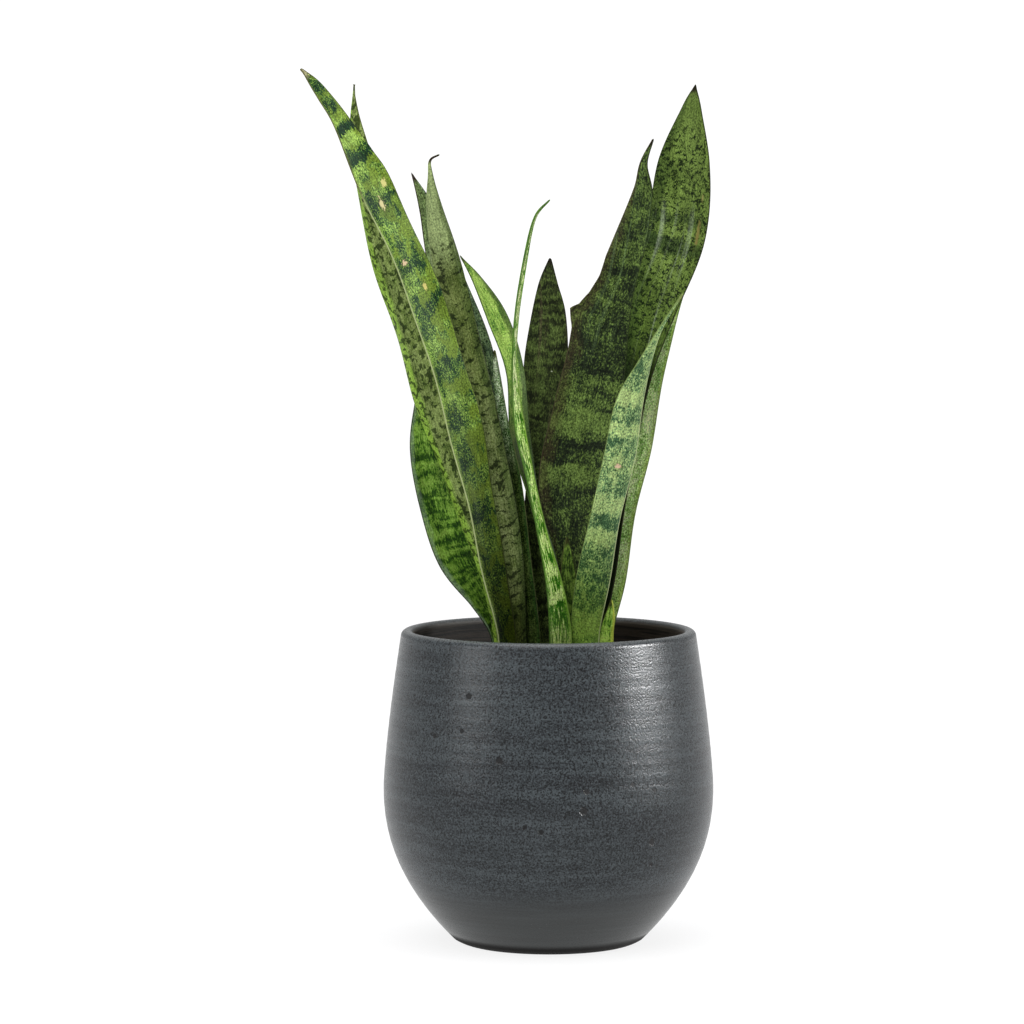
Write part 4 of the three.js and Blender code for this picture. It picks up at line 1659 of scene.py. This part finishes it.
@dataclass
class Studio:
    """A plain pale floor, soft light and the camera. Sizes are in metres, angles in degrees."""

    camera_place: tuple[float, float, float] = (0.0, -3.0, 0.514)
    camera_aim: tuple[float, float, float] = (-0.0250, 0.0, 0.2954)
    lens: float = 154.7
    floor_side: float = 30.0
    floor_colour: Colour = (112, 112, 113)
    floor_glow: float = 0.855
    ambient: float = 0.16
    mirrored: float = 0.6
    overhead: float = 3.2
    front: float = 0.6

    # Name, watts, width and height, and place of each lamp.
    WINDOWS = (
        ("right_window", 12.5, (0.75, 0.8), (1.25, -0.28, 0.62)),
        ("right_pane", 36.0, (0.3, 0.18), (1.25, -0.36, 0.66)),
        ("left_window", 6.0, (0.5, 0.5), (-1.2, -0.75, 0.60)),
    )
    SOFTBOXES = (
        ("right_softbox", 5.5, (0.7, 0.9), (1.1, -0.7, 1.1)),
        ("left_softbox", 2.5, (0.6, 1.2), (-1.3, -0.8, 0.9)),
    )
    POT_MIDDLE = (0, 0, 0.2)
    PLANT_MIDDLE = (0, 0, 0.3)

    def build(self) -> None:
        """Makes the camera, the floor, the lights and the white surroundings."""
        self._camera()
        self._floor()
        self._world()
        self._sun("overhead_scrim", self.overhead, 60, (6, 0, 0))
        self._sun("front_scrim", self.front, 40, (52, 0, -25))
        for name, power, size, place in self.WINDOWS:
            self._softbox(name, power, size, place, self.POT_MIDDLE, glossy=True)
        for name, power, size, place in self.SOFTBOXES:
            self._softbox(name, power, size, place, self.PLANT_MIDDLE)

    def _camera(self) -> None:
        """Aims the camera from the photograph's side, a little above the rim."""
        data = bpy.data.cameras.new("camera")
        data.lens = self.lens
        data.sensor_width = 36.0
        data.clip_start, data.clip_end = 0.05, 100.0
        camera = bpy.data.objects.new("camera", data)
        camera.location = self.camera_place
        aim = Vector(self.camera_aim) - Vector(self.camera_place)
        camera.rotation_euler = aim.to_track_quat("-Z", "Y").to_euler()
        bpy.context.scene.collection.objects.link(camera)
        bpy.context.scene.camera = camera

    def _floor(self) -> None:
        """Lays the plain floor just under the pot."""
        half = self.floor_side / 2
        corners = np.array([[-half, -half, 0], [half, -half, 0], [half, half, 0], [-half, half, 0]])
        floor = put_mesh("floor", corners - (0, 0, 0.2 * MM), np.array([[0, 1, 2, 3]]))
        material, _, shader = new_material("pale_floor")
        shader.inputs["Base Color"].default_value = linear(self.floor_colour)
        shader.inputs["Roughness"].default_value = 0.9
        shader.inputs["Specular IOR Level"].default_value = 0.0
        shader.inputs["Emission Color"].default_value = (1, 1, 1, 1)
        shader.inputs["Emission Strength"].default_value = self.floor_glow
        floor.data.materials.append(material)
        floor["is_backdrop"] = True

    def _world(self) -> None:
        """Surroundings that look white and light the object softly."""
        world = bpy.data.worlds.new("studio_white")
        world.use_nodes = True
        graph = Graph(world.node_tree)
        path = graph.add("LightPath").outputs
        strength = graph.math("MULTIPLY_ADD", path["Is Camera Ray"], 1.1 - self.ambient, self.ambient)
        strength = graph.math("MULTIPLY_ADD", path["Is Glossy Ray"], self.mirrored - self.ambient, strength)
        background = world.node_tree.nodes["Background"]
        background.inputs["Color"].default_value = (1, 1, 1, 1)
        graph.feed(background.inputs["Strength"], strength)
        bpy.context.scene.world = world
        bpy.context.scene.view_settings.view_transform = "Standard"

    def _sun(self, name: str, strength: float, spread: float, turn: tuple[float, float, float]) -> None:
        """Adds one wide, even light from a direction.

        Args:
            name: the lamp's name.
            strength: its strength in watts a square metre.
            spread: the angle that it fills.
            turn: how it is turned about each axis from straight down.
        """
        data = bpy.data.lights.new(name, "SUN")
        data.energy = strength
        data.angle = math.radians(spread)
        lamp = bpy.data.objects.new(name, data)
        lamp.rotation_euler = [math.radians(value) for value in turn]
        bpy.context.scene.collection.objects.link(lamp)

    def _softbox(self, name: str, power: float, size: tuple[float, float],
                 place: tuple[float, float, float], aim: tuple[float, float, float],
                 glossy: bool = False) -> None:
        """Adds one rectangular softbox.

        Args:
            name: the lamp's name.
            power: its power in watts.
            size: its width and height.
            place: where it stands.
            aim: the point that it faces.
            glossy: shows only as a reflection, as a window far off does.
        """
        data = bpy.data.lights.new(name, "AREA")
        data.shape = "RECTANGLE"
        data.size, data.size_y = size
        data.energy = power
        lamp = bpy.data.objects.new(name, data)
        lamp.location = place
        lamp.rotation_euler = (Vector(aim) - Vector(place)).to_track_quat("-Z", "Y").to_euler()
        lamp.visible_diffuse = not glossy
        bpy.context.scene.collection.objects.link(lamp)


MOTTLED = FaceTone()
DASHED = FaceTone(
    light=(124, 142, 86), middle=(104, 124, 68), dark=(84, 104, 54), deep=(66, 86, 42), cover=0.35,
    speckle=0.5, fibres=0.5, bands=0.2, dashes=0.45, dash_rows=2.4, dash_reach=0.9,
    feather=0.15, arch=-0.4,
)
DUSKY = FaceTone(
    light=(72, 94, 44), middle=(56, 72, 36), dark=(40, 50, 30), deep=(28, 34, 24), cover=0.6,
    speckle=0.6, grain=1.1, fibres=0.5, blotches=0.6, patches=0.4, bands=0.6, band_rows=1.2, feather=0.4,
    line_colour=(24, 30, 20),
)
BRIGHT = FaceTone(
    light=(130, 176, 66), middle=(104, 154, 50), dark=(72, 120, 42), deep=(52, 94, 36), cover=0.35,
    speckle=0.6, fibres=0.6, blotches=0.4, patches=0.5, bands=0.4, feather=0.6,
)


def left_shoot() -> Iterator[Leaf]:
    """Makes the five leaves of the left shoot.

    Returns:
        The leaves, one by one.
    """
    tall_left = replace(
        MOTTLED, light=(164, 198, 96), middle=(126, 162, 64), dark=(72, 112, 54), deep=(30, 57, 38),
        cover=0.55, speckle=1.8, grain=0.85, blotches=0.6, islands=0.8, grit=1.8,
        island_side=0.1, island_colour=(124, 150, 54), mark_weight=0.6, feather=0.5,
        # The wash that darkens the foot is painted shade.
        left=Flank((150, 176, 96), 0.12, 0.4), tints_and_shade=(TintOrShade((98, 98, 76), 204, 464),),
        marks=(
            Mark(578, 12, -0.35), Mark(562, 2.5, 0.8), Mark(555.5, 3, -0.8), Mark(549, 3.5, 1.0),
            Mark(538.5, 5.5, -0.7), Mark(525, 7, 0.4), Mark(504, 5, -0.4), Mark(488, 5, 0.3),
            Mark(466, 3.5, -0.4), Mark(454, 5, 0.3), Mark(440, 4, -0.3),
        ),
    )
    tall_left_rear = replace(
        DASHED, light=(142, 160, 96), middle=(120, 138, 76), dark=(98, 118, 58), deep=(70, 90, 42),
        dashes=0.55, dash_rows=2.3, dash_reach=0.5, line_colour=(36, 52, 18), cover=0.38,
        patches=0.4, fibres=0.4, grit=1.4,
        # The wash that darkens the foot is painted shade.
        right=Flank((150, 190, 74), 0.6, 0.85), tints_and_shade=(TintOrShade((232, 240, 212), 204, 324),),
    )
    curled = replace(
        DASHED, light=(134, 146, 96), middle=(116, 130, 80), dark=(98, 112, 64), deep=(78, 92, 48),
        cover=0.4, dashes=0.46, dash_rows=2.7, dash_reach=0.8, squiggles=0.2, squiggle_rows=1.9,
        # The pale streaks are painted sheen.
        streaks=0.6, sheen_colour=(178, 194, 150), sheen_run=(454, 530),
        line_colour=(22, 32, 12), line_run=(204, 482), left=Flank((64, 82, 40), 0.4, 0.7),
        speckle=0.7, blotches=0.15, grit=1.5,
        tints_and_shade=(
            TintOrShade((234, 238, 214), 410, 336), TintOrShade((170, 188, 132), 488, 450, 0.75, "MIX"),
            # This wash, darker towards the foot, is painted shade.
            TintOrShade((178, 184, 148), 216, 266),
        ),
    )
    olive = replace(
        DUSKY, light=(136, 158, 104), middle=(102, 124, 76), dark=(58, 74, 48), deep=(28, 38, 28),
        # The pale blue-grey right flank is painted sheen.
        grit=2.2, speckle=1.4, right=Flank((124, 150, 122), 0.4, 0.4), cover=0.5,
        tints_and_shade=(TintOrShade((104, 124, 74), 504, 454, 0.6, "MIX"),),
    )
    low = replace(
        BRIGHT, light=(146, 186, 82), middle=(114, 158, 58), dark=(70, 110, 36), deep=(40, 70, 26),
        cover=0.47, band_rows=2.4, bands=1.0, feather=0.25,
        # The pale left flank is painted sheen, and the wash that darkens the foot is painted shade.
        left=Flank((150, 172, 146), 0.15, 0.6), tints_and_shade=(TintOrShade((150, 160, 130), 204, 304),),
    )
    yield Leaf(
        name="leaf_tall_left", wave=1.4, phase=0.4, seed=11, sections=270,
        stations=(
            (-28, -17, 188, 13, 12, 70), (-29, -18, 215, 14, 12, 70),
            (-38, -22, 258, 18, 20, 65), (-48, -27, 309, 23, 30, 60), (-62, -36, 370, 29, 36, 55),
            (-85, -48, 445, 28, 40, 50), (-114, -62, 512, 26.5, 38, 45), (-126, -67, 536, 21, 36, 45),
            (-139.5, -72, 562, 14.2, 34, 45), (-149, -76, 576.5, 10.8, 32, 50),
            (-155.5, -78, 585.5, 7.2, 30, 50), (-161, -79.5, 592, 2.6, 30, 50),
            (-164, -80.5, 594.8, 1.2, 30, 50),
        ),
        skin=LeafSkin(
            upper=tall_left, lower=DASHED, left_edge=(180, 192, 136), right_edge=(44, 48, 26),
            upper_edge=(96, 96, 58), upper_edge_from=514, tip=(196, 190, 150), tip_length=5,
            scars=(
                Scar(516.5, 7.4, 2.0, (232, 224, 144)),
                Scar(506, -1.0, 1.8, (232, 220, 164), stretch=2.2),
                Scar(468, -4.7, 2.4, (234, 206, 168), stretch=0.7),
                Scar(449, 3.8, 1.6, (226, 212, 130)),
            ),
        ),
    )
    yield Leaf(
        name="leaf_tall_left_rear", wave=1.6, phase=2.1, seed=23, sections=250,
        stations=(
            (-31, -3, 188, 13, 165, 60), (-33, -1, 218, 14, 165, 60),
            (-46, 4, 272, 20, 150, 55), (-63, 10, 317, 28, 140, 50), (-81, 17, 368, 32, 136, 45),
            (-102, 26, 436, 34, 135, 45), (-123, 34, 502, 28, 135, 50), (-133, 40, 554, 12, 135, 70),
            (-134, 43, 587.5, 1.2, 135, 70),
        ),
        skin=LeafSkin(
            upper=MOTTLED, lower=tall_left_rear, right_edge=(62, 78, 34), tip=(52, 56, 30),
            tip_length=3,
        ),
    )
    yield Leaf(
        name="leaf_curled_tip", slot="leaf_pale", wave=0.8, phase=1.2, seed=31, sections=240,
        stations=(
            (-21, -10, 188, 15, 175, 70), (-23, -11, 214, 16, 175, 70),
            (-28, -13, 264, 22, 170, 65), (-39, -15, 328, 24, 165, 60), (-55, -15, 400, 24, 162, 55),
            (-69, -14, 458, 23, 160, 60), (-78, -11, 502, 13, 160, 80),
            (-80.3, -9, 525, 4.5, 160, 90), (-80.3, -8.5, 535, 2, 160, 90),
            (-74, -8, 539, 1.2, 160, 90),
        ),
        skin=LeafSkin(
            upper=MOTTLED, lower=curled, left_edge=(38, 46, 24), right_edge=(92, 106, 62),
            tip=(50, 40, 30),
        ),
    )
    yield Leaf(
        name="leaf_left_olive", slot="leaf_dark", wave=1.2, phase=3.4, seed=43,
        stations=(
            (-21, 4, 188, 15, 10, 65), (-22, 5, 214, 15, 10, 65),
            (-28, 9, 269, 19, 14, 60), (-37, 17, 337, 24, 18, 50), (-51, 27, 402, 26, 20, 45),
            (-70, 37, 453, 25, 20, 45), (-84, 47, 500, 12, 20, 60), (-95, 53, 527, 1.2, 20, 60),
        ),
        skin=LeafSkin(upper=olive, lower=DUSKY, left_edge=(50, 48, 32), tip=(50, 38, 34), tip_length=7),
    )
    yield Leaf(
        name="leaf_low_left", wave=2.0, seed=59, sections=170, columns=28,
        stations=(
            (-31, 11, 188, 15, 10, 60), (-34, 13, 212, 15, 10, 60),
            (-45, 17, 234, 21, 14, 55), (-63, 24, 264, 32, 20, 45), (-75, 32, 301, 37, 25, 40),
            (-81, 38, 336, 35, 28, 40), (-84, 43, 370, 22, 28, 45), (-89, 47, 404, 1.2, 28, 50),
        ),
        skin=LeafSkin(upper=low, lower=MOTTLED, left_edge=(30, 42, 20), right_edge=(30, 42, 20)),
    )


def middle_shoot() -> Iterator[Leaf]:
    """Makes the five leaves of the middle shoot.

    Returns:
        The leaves, one by one.
    """
    small = replace(
        DASHED, light=(216, 230, 200), middle=(168, 194, 148), dark=(96, 134, 74), deep=(50, 80, 38),
        dashes=0.0, cover=0.42, speckle=1.3, grain=0.7, grit=2.0, left=Flank((44, 74, 30), 0.3, 0.8),
        # The wash that darkens the lower blade is painted shade.
        right=Flank((44, 74, 30), 0.3, 0.8), tints_and_shade=(TintOrShade((88, 100, 60), 319, 376),),
    )
    arching = replace(
        BRIGHT, light=(164, 194, 100), middle=(136, 172, 74), dark=(96, 138, 58), deep=(64, 102, 46),
        cover=0.36, speckle=0.9, right=Flank((70, 94, 50), 0.44, 0.8),
        # The wash that darkens the lower blade is painted shade.
        tints_and_shade=(TintOrShade((76, 84, 56), 338, 386),),
    )
    thin = replace(
        BRIGHT, light=(218, 228, 172), middle=(166, 198, 106), dark=(96, 152, 48), deep=(54, 106, 28),
        cover=0.38, fibres=1.8, blotches=0.8, left=Flank((104, 152, 52), 0.14, 0.7),
        right=Flank((136, 180, 62), 0.16, 0.7), grit=1.6,
        # The wash that darkens the foot is painted shade.
        tints_and_shade=(TintOrShade((222, 238, 200), 349, 399),),
        marks=(
            Mark(228, 8, -0.9), Mark(240, 3, 0.6), Mark(248, 4, -0.7), Mark(258, 4, 0.5),
            Mark(266, 3, -0.7), Mark(276, 5, 0.4), Mark(287, 3, -0.6),
        ),
    )
    rear = replace(
        DUSKY, light=(94, 112, 60), middle=(72, 86, 46), dark=(54, 63, 36), deep=(34, 40, 24),
        cover=0.46, fibres=0.3, bands=1.0, band_rows=2.6, squiggles=0.4, squiggle_rows=3.6, grit=1.6,
        # The brownish streaks are painted sheen.
        streaks=0.6, sheen_colour=(88, 80, 62), sheen_run=(334, 454),
    )
    short = replace(
        DUSKY, light=(124, 154, 68), middle=(96, 124, 50), dark=(64, 88, 36), deep=(38, 56, 24),
        cover=0.45,
    )
    yield Leaf(
        name="leaf_small_centre", wave=0.3, seed=61, sections=160, columns=20,
        stations=(
            (-12, -4, 188, 13, 150, 90), (-12, -5, 212, 13, 145, 90),
            (-17, -4, 263, 12, 135, 90), (-23.5, -3, 317, 11, 130, 100), (-31.5, -1, 355, 11, 130, 105),
            (-36, 1, 386, 8, 130, 110), (-37, 4, 406, 1.2, 130, 110),
        ),
        skin=LeafSkin(upper=MOTTLED, lower=small),
    )
    yield Leaf(
        name="leaf_arching", slot="leaf_bright", wave=0.8, phase=1.0, seed=71, sections=220, columns=20,
        stations=(
            (6, 3, 188, 13, 15, 70), (6, 2, 211, 13, 20, 70),
            (2, -1, 256, 10, 35, 70), (-9.6, 0.5, 300, 11, 44, 70), (-20.8, 5, 348, 17.5, 42, 60),
            (-24, 7, 391, 18, 40, 50), (-35, 18, 425, 17, 35, 50), (-49, 27, 452, 9, 35, 60),
            (-61, 33, 470, 1.2, 35, 60),
        ),
        skin=LeafSkin(upper=arching, lower=BRIGHT, left_edge=(62, 88, 34), right_edge=(40, 52, 24)),
    )
    yield Leaf(
        name="leaf_thin_front", slot="leaf_bright", wave=0.3, seed=83,
        columns=20,
        stations=(
            (8, -20, 188, 17, 8, 90), (7.5, -24, 217, 17, 8, 90),
            (3.5, -28, 248, 13, 12, 100), (-5, -31, 285, 8, 15, 110), (-13, -33, 323, 7, 18, 110),
            (-20, -33, 356, 8.5, 20, 110), (-23.5, -32, 392, 5, 30, 120),
            (-22, -29, 429, 4.5, 45, 120), (-16.5, -26, 467, 4.5, 55, 120),
            (-9.5, -22, 496, 3.4, 60, 120), (1, -18, 508.5, 1.2, 60, 120),
        ),
        skin=LeafSkin(
            upper=thin, lower=BRIGHT, right_edge=(100, 134, 50), left_edge=(70, 104, 40),
            foot=(150, 160, 104), foot_height=208, foot_strength=0.6, tip=(60, 76, 34),
        ),
    )
    yield Leaf(
        name="leaf_rear_centre", slot="leaf_dark", wave=0.9, phase=2.6, seed=97, sections=190,
        stations=(
            (-4, 12, 188, 13, -5, 70), (-6, 15, 213, 17, -10, 70),
            (-10, 22, 268, 18, -10, 70), (-9, 28, 312, 14, -12, 65), (-5, 34, 353, 24, -14, 50),
            (-1.5, 40, 394, 32, -15, 40), (0.5, 46, 427, 26, -15, 40), (0, 50, 450, 14, -15, 50),
            (1, 53, 468, 1.2, -15, 50),
        ),
        skin=LeafSkin(
            upper=rear, lower=DUSKY, tip=(34, 30, 22), left_edge=(30, 32, 20), right_edge=(30, 32, 20),
            scars=(Scar(390, 4.5, 0.6, (206, 212, 192), stretch=0.7),),
        ),
    )
    yield Leaf(
        name="leaf_short_centre", slot="leaf_dark", seed=101, sections=80, columns=16,
        stations=(
            (15, -12, 188, 10, 0, 80), (15, -13, 215, 11, 0, 80),
            (14, -15, 243, 12.5, 0, 70), (13, -17, 264, 9, 0, 70), (12.5, -18, 280, 1.2, 0, 80),
        ),
        skin=LeafSkin(upper=short, lower=DUSKY),
    )


def right_shoot() -> Iterator[Leaf]:
    """Makes the five leaves of the right shoot.

    Returns:
        The leaves, one by one.
    """
    broad = replace(
        DUSKY, light=(112, 136, 70), middle=(84, 104, 54), dark=(55, 69, 41), deep=(31, 39, 28),
        cover=0.5, speckle=1.3, grain=1.2, blotches=0.4, fibres=0.4, squiggles=0.5, squiggle_rows=2.8,
        # The brownish left flank is painted shade, and the streaks are painted sheen.
        left=Flank((70, 58, 40), 0.3, 0.5), streaks=0.5, sheen_colour=(100, 122, 84),
        sheen_run=(404, 564), mark_weight=0.26, grit=1.9,
        marks=(
            Mark(474, 90, 0.6), Mark(395, 5, -0.5), Mark(355, 8, 1.0), Mark(336, 8, -0.4),
            Mark(321, 5, 0.9), Mark(295, 14, -0.3),
        ),
    )
    channelled = replace(
        MOTTLED, light=(120, 144, 72), middle=(103, 126, 60), dark=(86, 107, 54), deep=(60, 78, 42),
        cover=0.22, speckle=0.6, grain=1.0, blotches=0.05, patches=0.15, bands=0.3, squiggles=1.0,
        squiggle_rows=3.4, line_run=(304, 560), dashes=0.36, dash_rows=4.2,
        # The dark left flank is painted shade, and the pale streaks are painted sheen.
        line_colour=(24, 36, 16), feather=0.25, left=Flank((50, 70, 34), 0.36, 0.55), streaks=0.45,
        sheen_colour=(176, 192, 164), sheen_run=(399, 500), grit=1.4, mark_weight=0.55,
        # Both washes, darker towards the foot, are painted shade.
        tints_and_shade=(TintOrShade((196, 204, 188), 409, 479), TintOrShade((46, 54, 38), 382, 424)),
        marks=(
            Mark(514, 14, -0.2), Mark(494, 2.5, -0.8), Mark(486, 3.5, 0.8), Mark(476.8, 4.5, -0.9),
            Mark(444, 10, -0.2),
        ),
    )
    front = replace(
        MOTTLED, light=(178, 202, 134), middle=(160, 188, 122), dark=(120, 156, 106), deep=(64, 96, 66),
        cover=0.48, speckle=1.6, grain=1.0, blotches=0.8, wander=0.7, mark_weight=0.35,
        # The wash that darkens the foot is painted shade.
        grit=1.7, tints_and_shade=(TintOrShade((176, 190, 140), 230, 314),),
        marks=(
            Mark(374, 4, 0.7), Mark(363, 4, -0.5), Mark(353.5, 4.5, 0.8), Mark(342.5, 5, -0.7),
            Mark(329, 4, 0.3), Mark(316, 6, -0.4), Mark(301.5, 4, 0.7), Mark(290, 5, -0.8),
            Mark(281, 4, 0.8), Mark(261, 12, -0.6), Mark(220, 8, 0.9),
        ),
    )
    outer = replace(
        MOTTLED, light=(240, 254, 200), middle=(216, 250, 164), dark=(152, 206, 104), deep=(86, 132, 60),
        # The dark left flank is painted shade, and the streaks are painted sheen.
        cover=0.4, speckle=1.2, left=Flank((68, 96, 44), 0.25, 0.5), streaks=0.25,
        sheen_colour=(196, 228, 176), sheen_run=(294, 424), grit=1.6,
        # The wash that darkens the foot is painted shade.
        right=Flank((206, 236, 120), 0.3, 0.5), tints_and_shade=(TintOrShade((212, 228, 182), 219, 284),),
    )
    short = replace(
        BRIGHT, light=(190, 224, 110), middle=(148, 196, 80), dark=(78, 130, 40), deep=(48, 90, 28),
        cover=0.45, right=Flank((206, 222, 92), 0.36, 0.8),
    )
    yield Leaf(
        name="leaf_broad_right", slot="leaf_dark", wave=2.2, phase=0.9, seed=113, sections=300,
        columns=30,
        margin=(
            (371, 0), (391, -1.8), (404, -1.8), (415, -0.5), (425.5, 5.2), (429, 0.5), (437, -2),
            (451, -1.8), (466, 0),
        ),
        stations=(
            (25, 4, 188, 17, -15, 60), (24, 4, 214, 19, -20, 60),
            (16, 5, 272, 33, -18, 55), (16.2, 8, 320, 46, -14, 45), (28, 12, 370, 47, -12, 40),
            (41, 18, 421, 50, -12, 38), (53, 23, 452, 41, -12, 45), (60, 27, 482, 29, -14, 55),
            (65, 31, 514, 16, -18, 70), (65.5, 33, 533, 7.5, -20, 80), (72, 35, 550, 1.2, -20, 80),
        ),
        skin=LeafSkin(
            upper=broad, lower=DUSKY, left_edge=(78, 68, 52), right_edge=(36, 40, 24),
            tip=(56, 48, 40),
        ),
    )
    yield Leaf(
        name="leaf_channelled_right", wave=1.6, phase=4.2, seed=127, sections=260, columns=30,
        stations=(
            (33, -5, 188, 15, -8, 80), (33, -5, 215, 15, -12, 80),
            (40, -4, 256, 15, -18, 80), (48, -3, 311, 17, -20, 80), (58.5, -3, 372, 20, -22, 80),
            (73, -4, 434, 34, -24, 70), (89, -7, 485, 46, -25, 60), (93.5, -11, 533, 39, -26, 60),
            (97.5, -15, 570, 17, -27, 70), (99, -17, 586, 1.2, -27, 80),
        ),
        skin=LeafSkin(
            upper=channelled, lower=MOTTLED, left_edge=(46, 56, 30), right_edge=(36, 38, 22),
            tip=(44, 40, 26),
            scars=(
                Scar(488, 15.0, 1.5, (140, 124, 72), stretch=4.5, strength=0.7),
                Scar(511, 15.5, 0.8, (156, 152, 92), stretch=3.0, strength=0.6),
            ),
        ),
    )
    yield Leaf(
        name="leaf_front_right", slot="leaf_pale", wave=0.4, phase=1.7, seed=139, sections=210,
        stations=(
            (26.5, -20, 188, 19, 190, 70), (26, -23, 217, 22, 195, 70),
            (32.5, -27, 255, 27, 205, 65), (40.5, -32, 296, 25.5, 212, 60), (50, -37, 337, 27, 215, 55),
            (56, -41, 371, 26, 220, 55), (65, -44, 396, 19, 236, 60), (76, -47, 423, 5, 250, 70),
            (90, -50, 446, 1.2, 255, 70),
        ),
        skin=LeafSkin(
            upper=MOTTLED, lower=front, left_edge=(190, 202, 146), right_edge=(120, 140, 80),
            left_width=1.7, foot=(172, 222, 84), foot_height=218, foot_strength=0.3,
            scars=(Scar(329, 2.5, 2.2, (226, 190, 162), stretch=0.7),), tip=(150, 150, 90),
        ),
    )
    yield Leaf(
        name="leaf_outer_right", wave=1.2, phase=5.0, seed=149, sections=190,
        stations=(
            (40, 10, 188, 14, -25, 70), (39, 10, 212, 15, -28, 70),
            (46.3, 12, 251, 18.5, -28, 60), (53.5, 16, 299, 20.5, -30, 55),
            (63.5, 21, 343, 21, -32, 50), (73, 27, 390, 20.5, -36, 50),
            (83, 32, 426, 13.5, -38, 55), (94, 35, 448, 1.2, -40, 60),
        ),
        skin=LeafSkin(upper=outer, lower=MOTTLED, left_edge=(46, 60, 32), right_edge=(96, 118, 60)),
    )
    yield Leaf(
        name="leaf_short_right", slot="leaf_bright", seed=151, sections=60, columns=16,
        stations=(
            (39, -13, 188, 11, -10, 80), (40, -15, 213, 11, -20, 80),
            (42, -17, 225, 8, -20, 80), (43, -18, 237, 1.2, -20, 80),
        ),
        skin=LeafSkin(upper=short, lower=BRIGHT, right_edge=(180, 194, 80)),
    )


def report(piece: bpy.types.Object) -> None:
    """Logs a finished piece and how many faces it has."""
    log.info("%s: %d faces", piece.name, len(piece.data.polygons))


def main() -> None:
    """Builds the studio, the pot, the soil, the rhizome and the leaves."""
    logging.basicConfig(level=logging.INFO, format="%(name)s %(message)s")
    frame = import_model()
    cad_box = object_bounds()
    Studio().build()

    effects = SharedEffects()
    leaves = [*left_shoot(), *middle_shoot(), *right_shoot()]
    report(Pot().build(effects))
    for piece in Soil().build(frame["nodes"]["soil"], leaves):
        report(piece)
    dress_node(frame["nodes"]["rhizome"], RhizomeBark().material())
    for leaf in leaves:
        report(leaf.build(effects))

    boxes = {"cad": cad_box, "visual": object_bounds()}
    sizes = {name: [list(corner) for corner in box] for name, box in boxes.items()}


if __name__ == "__main__":
    main()
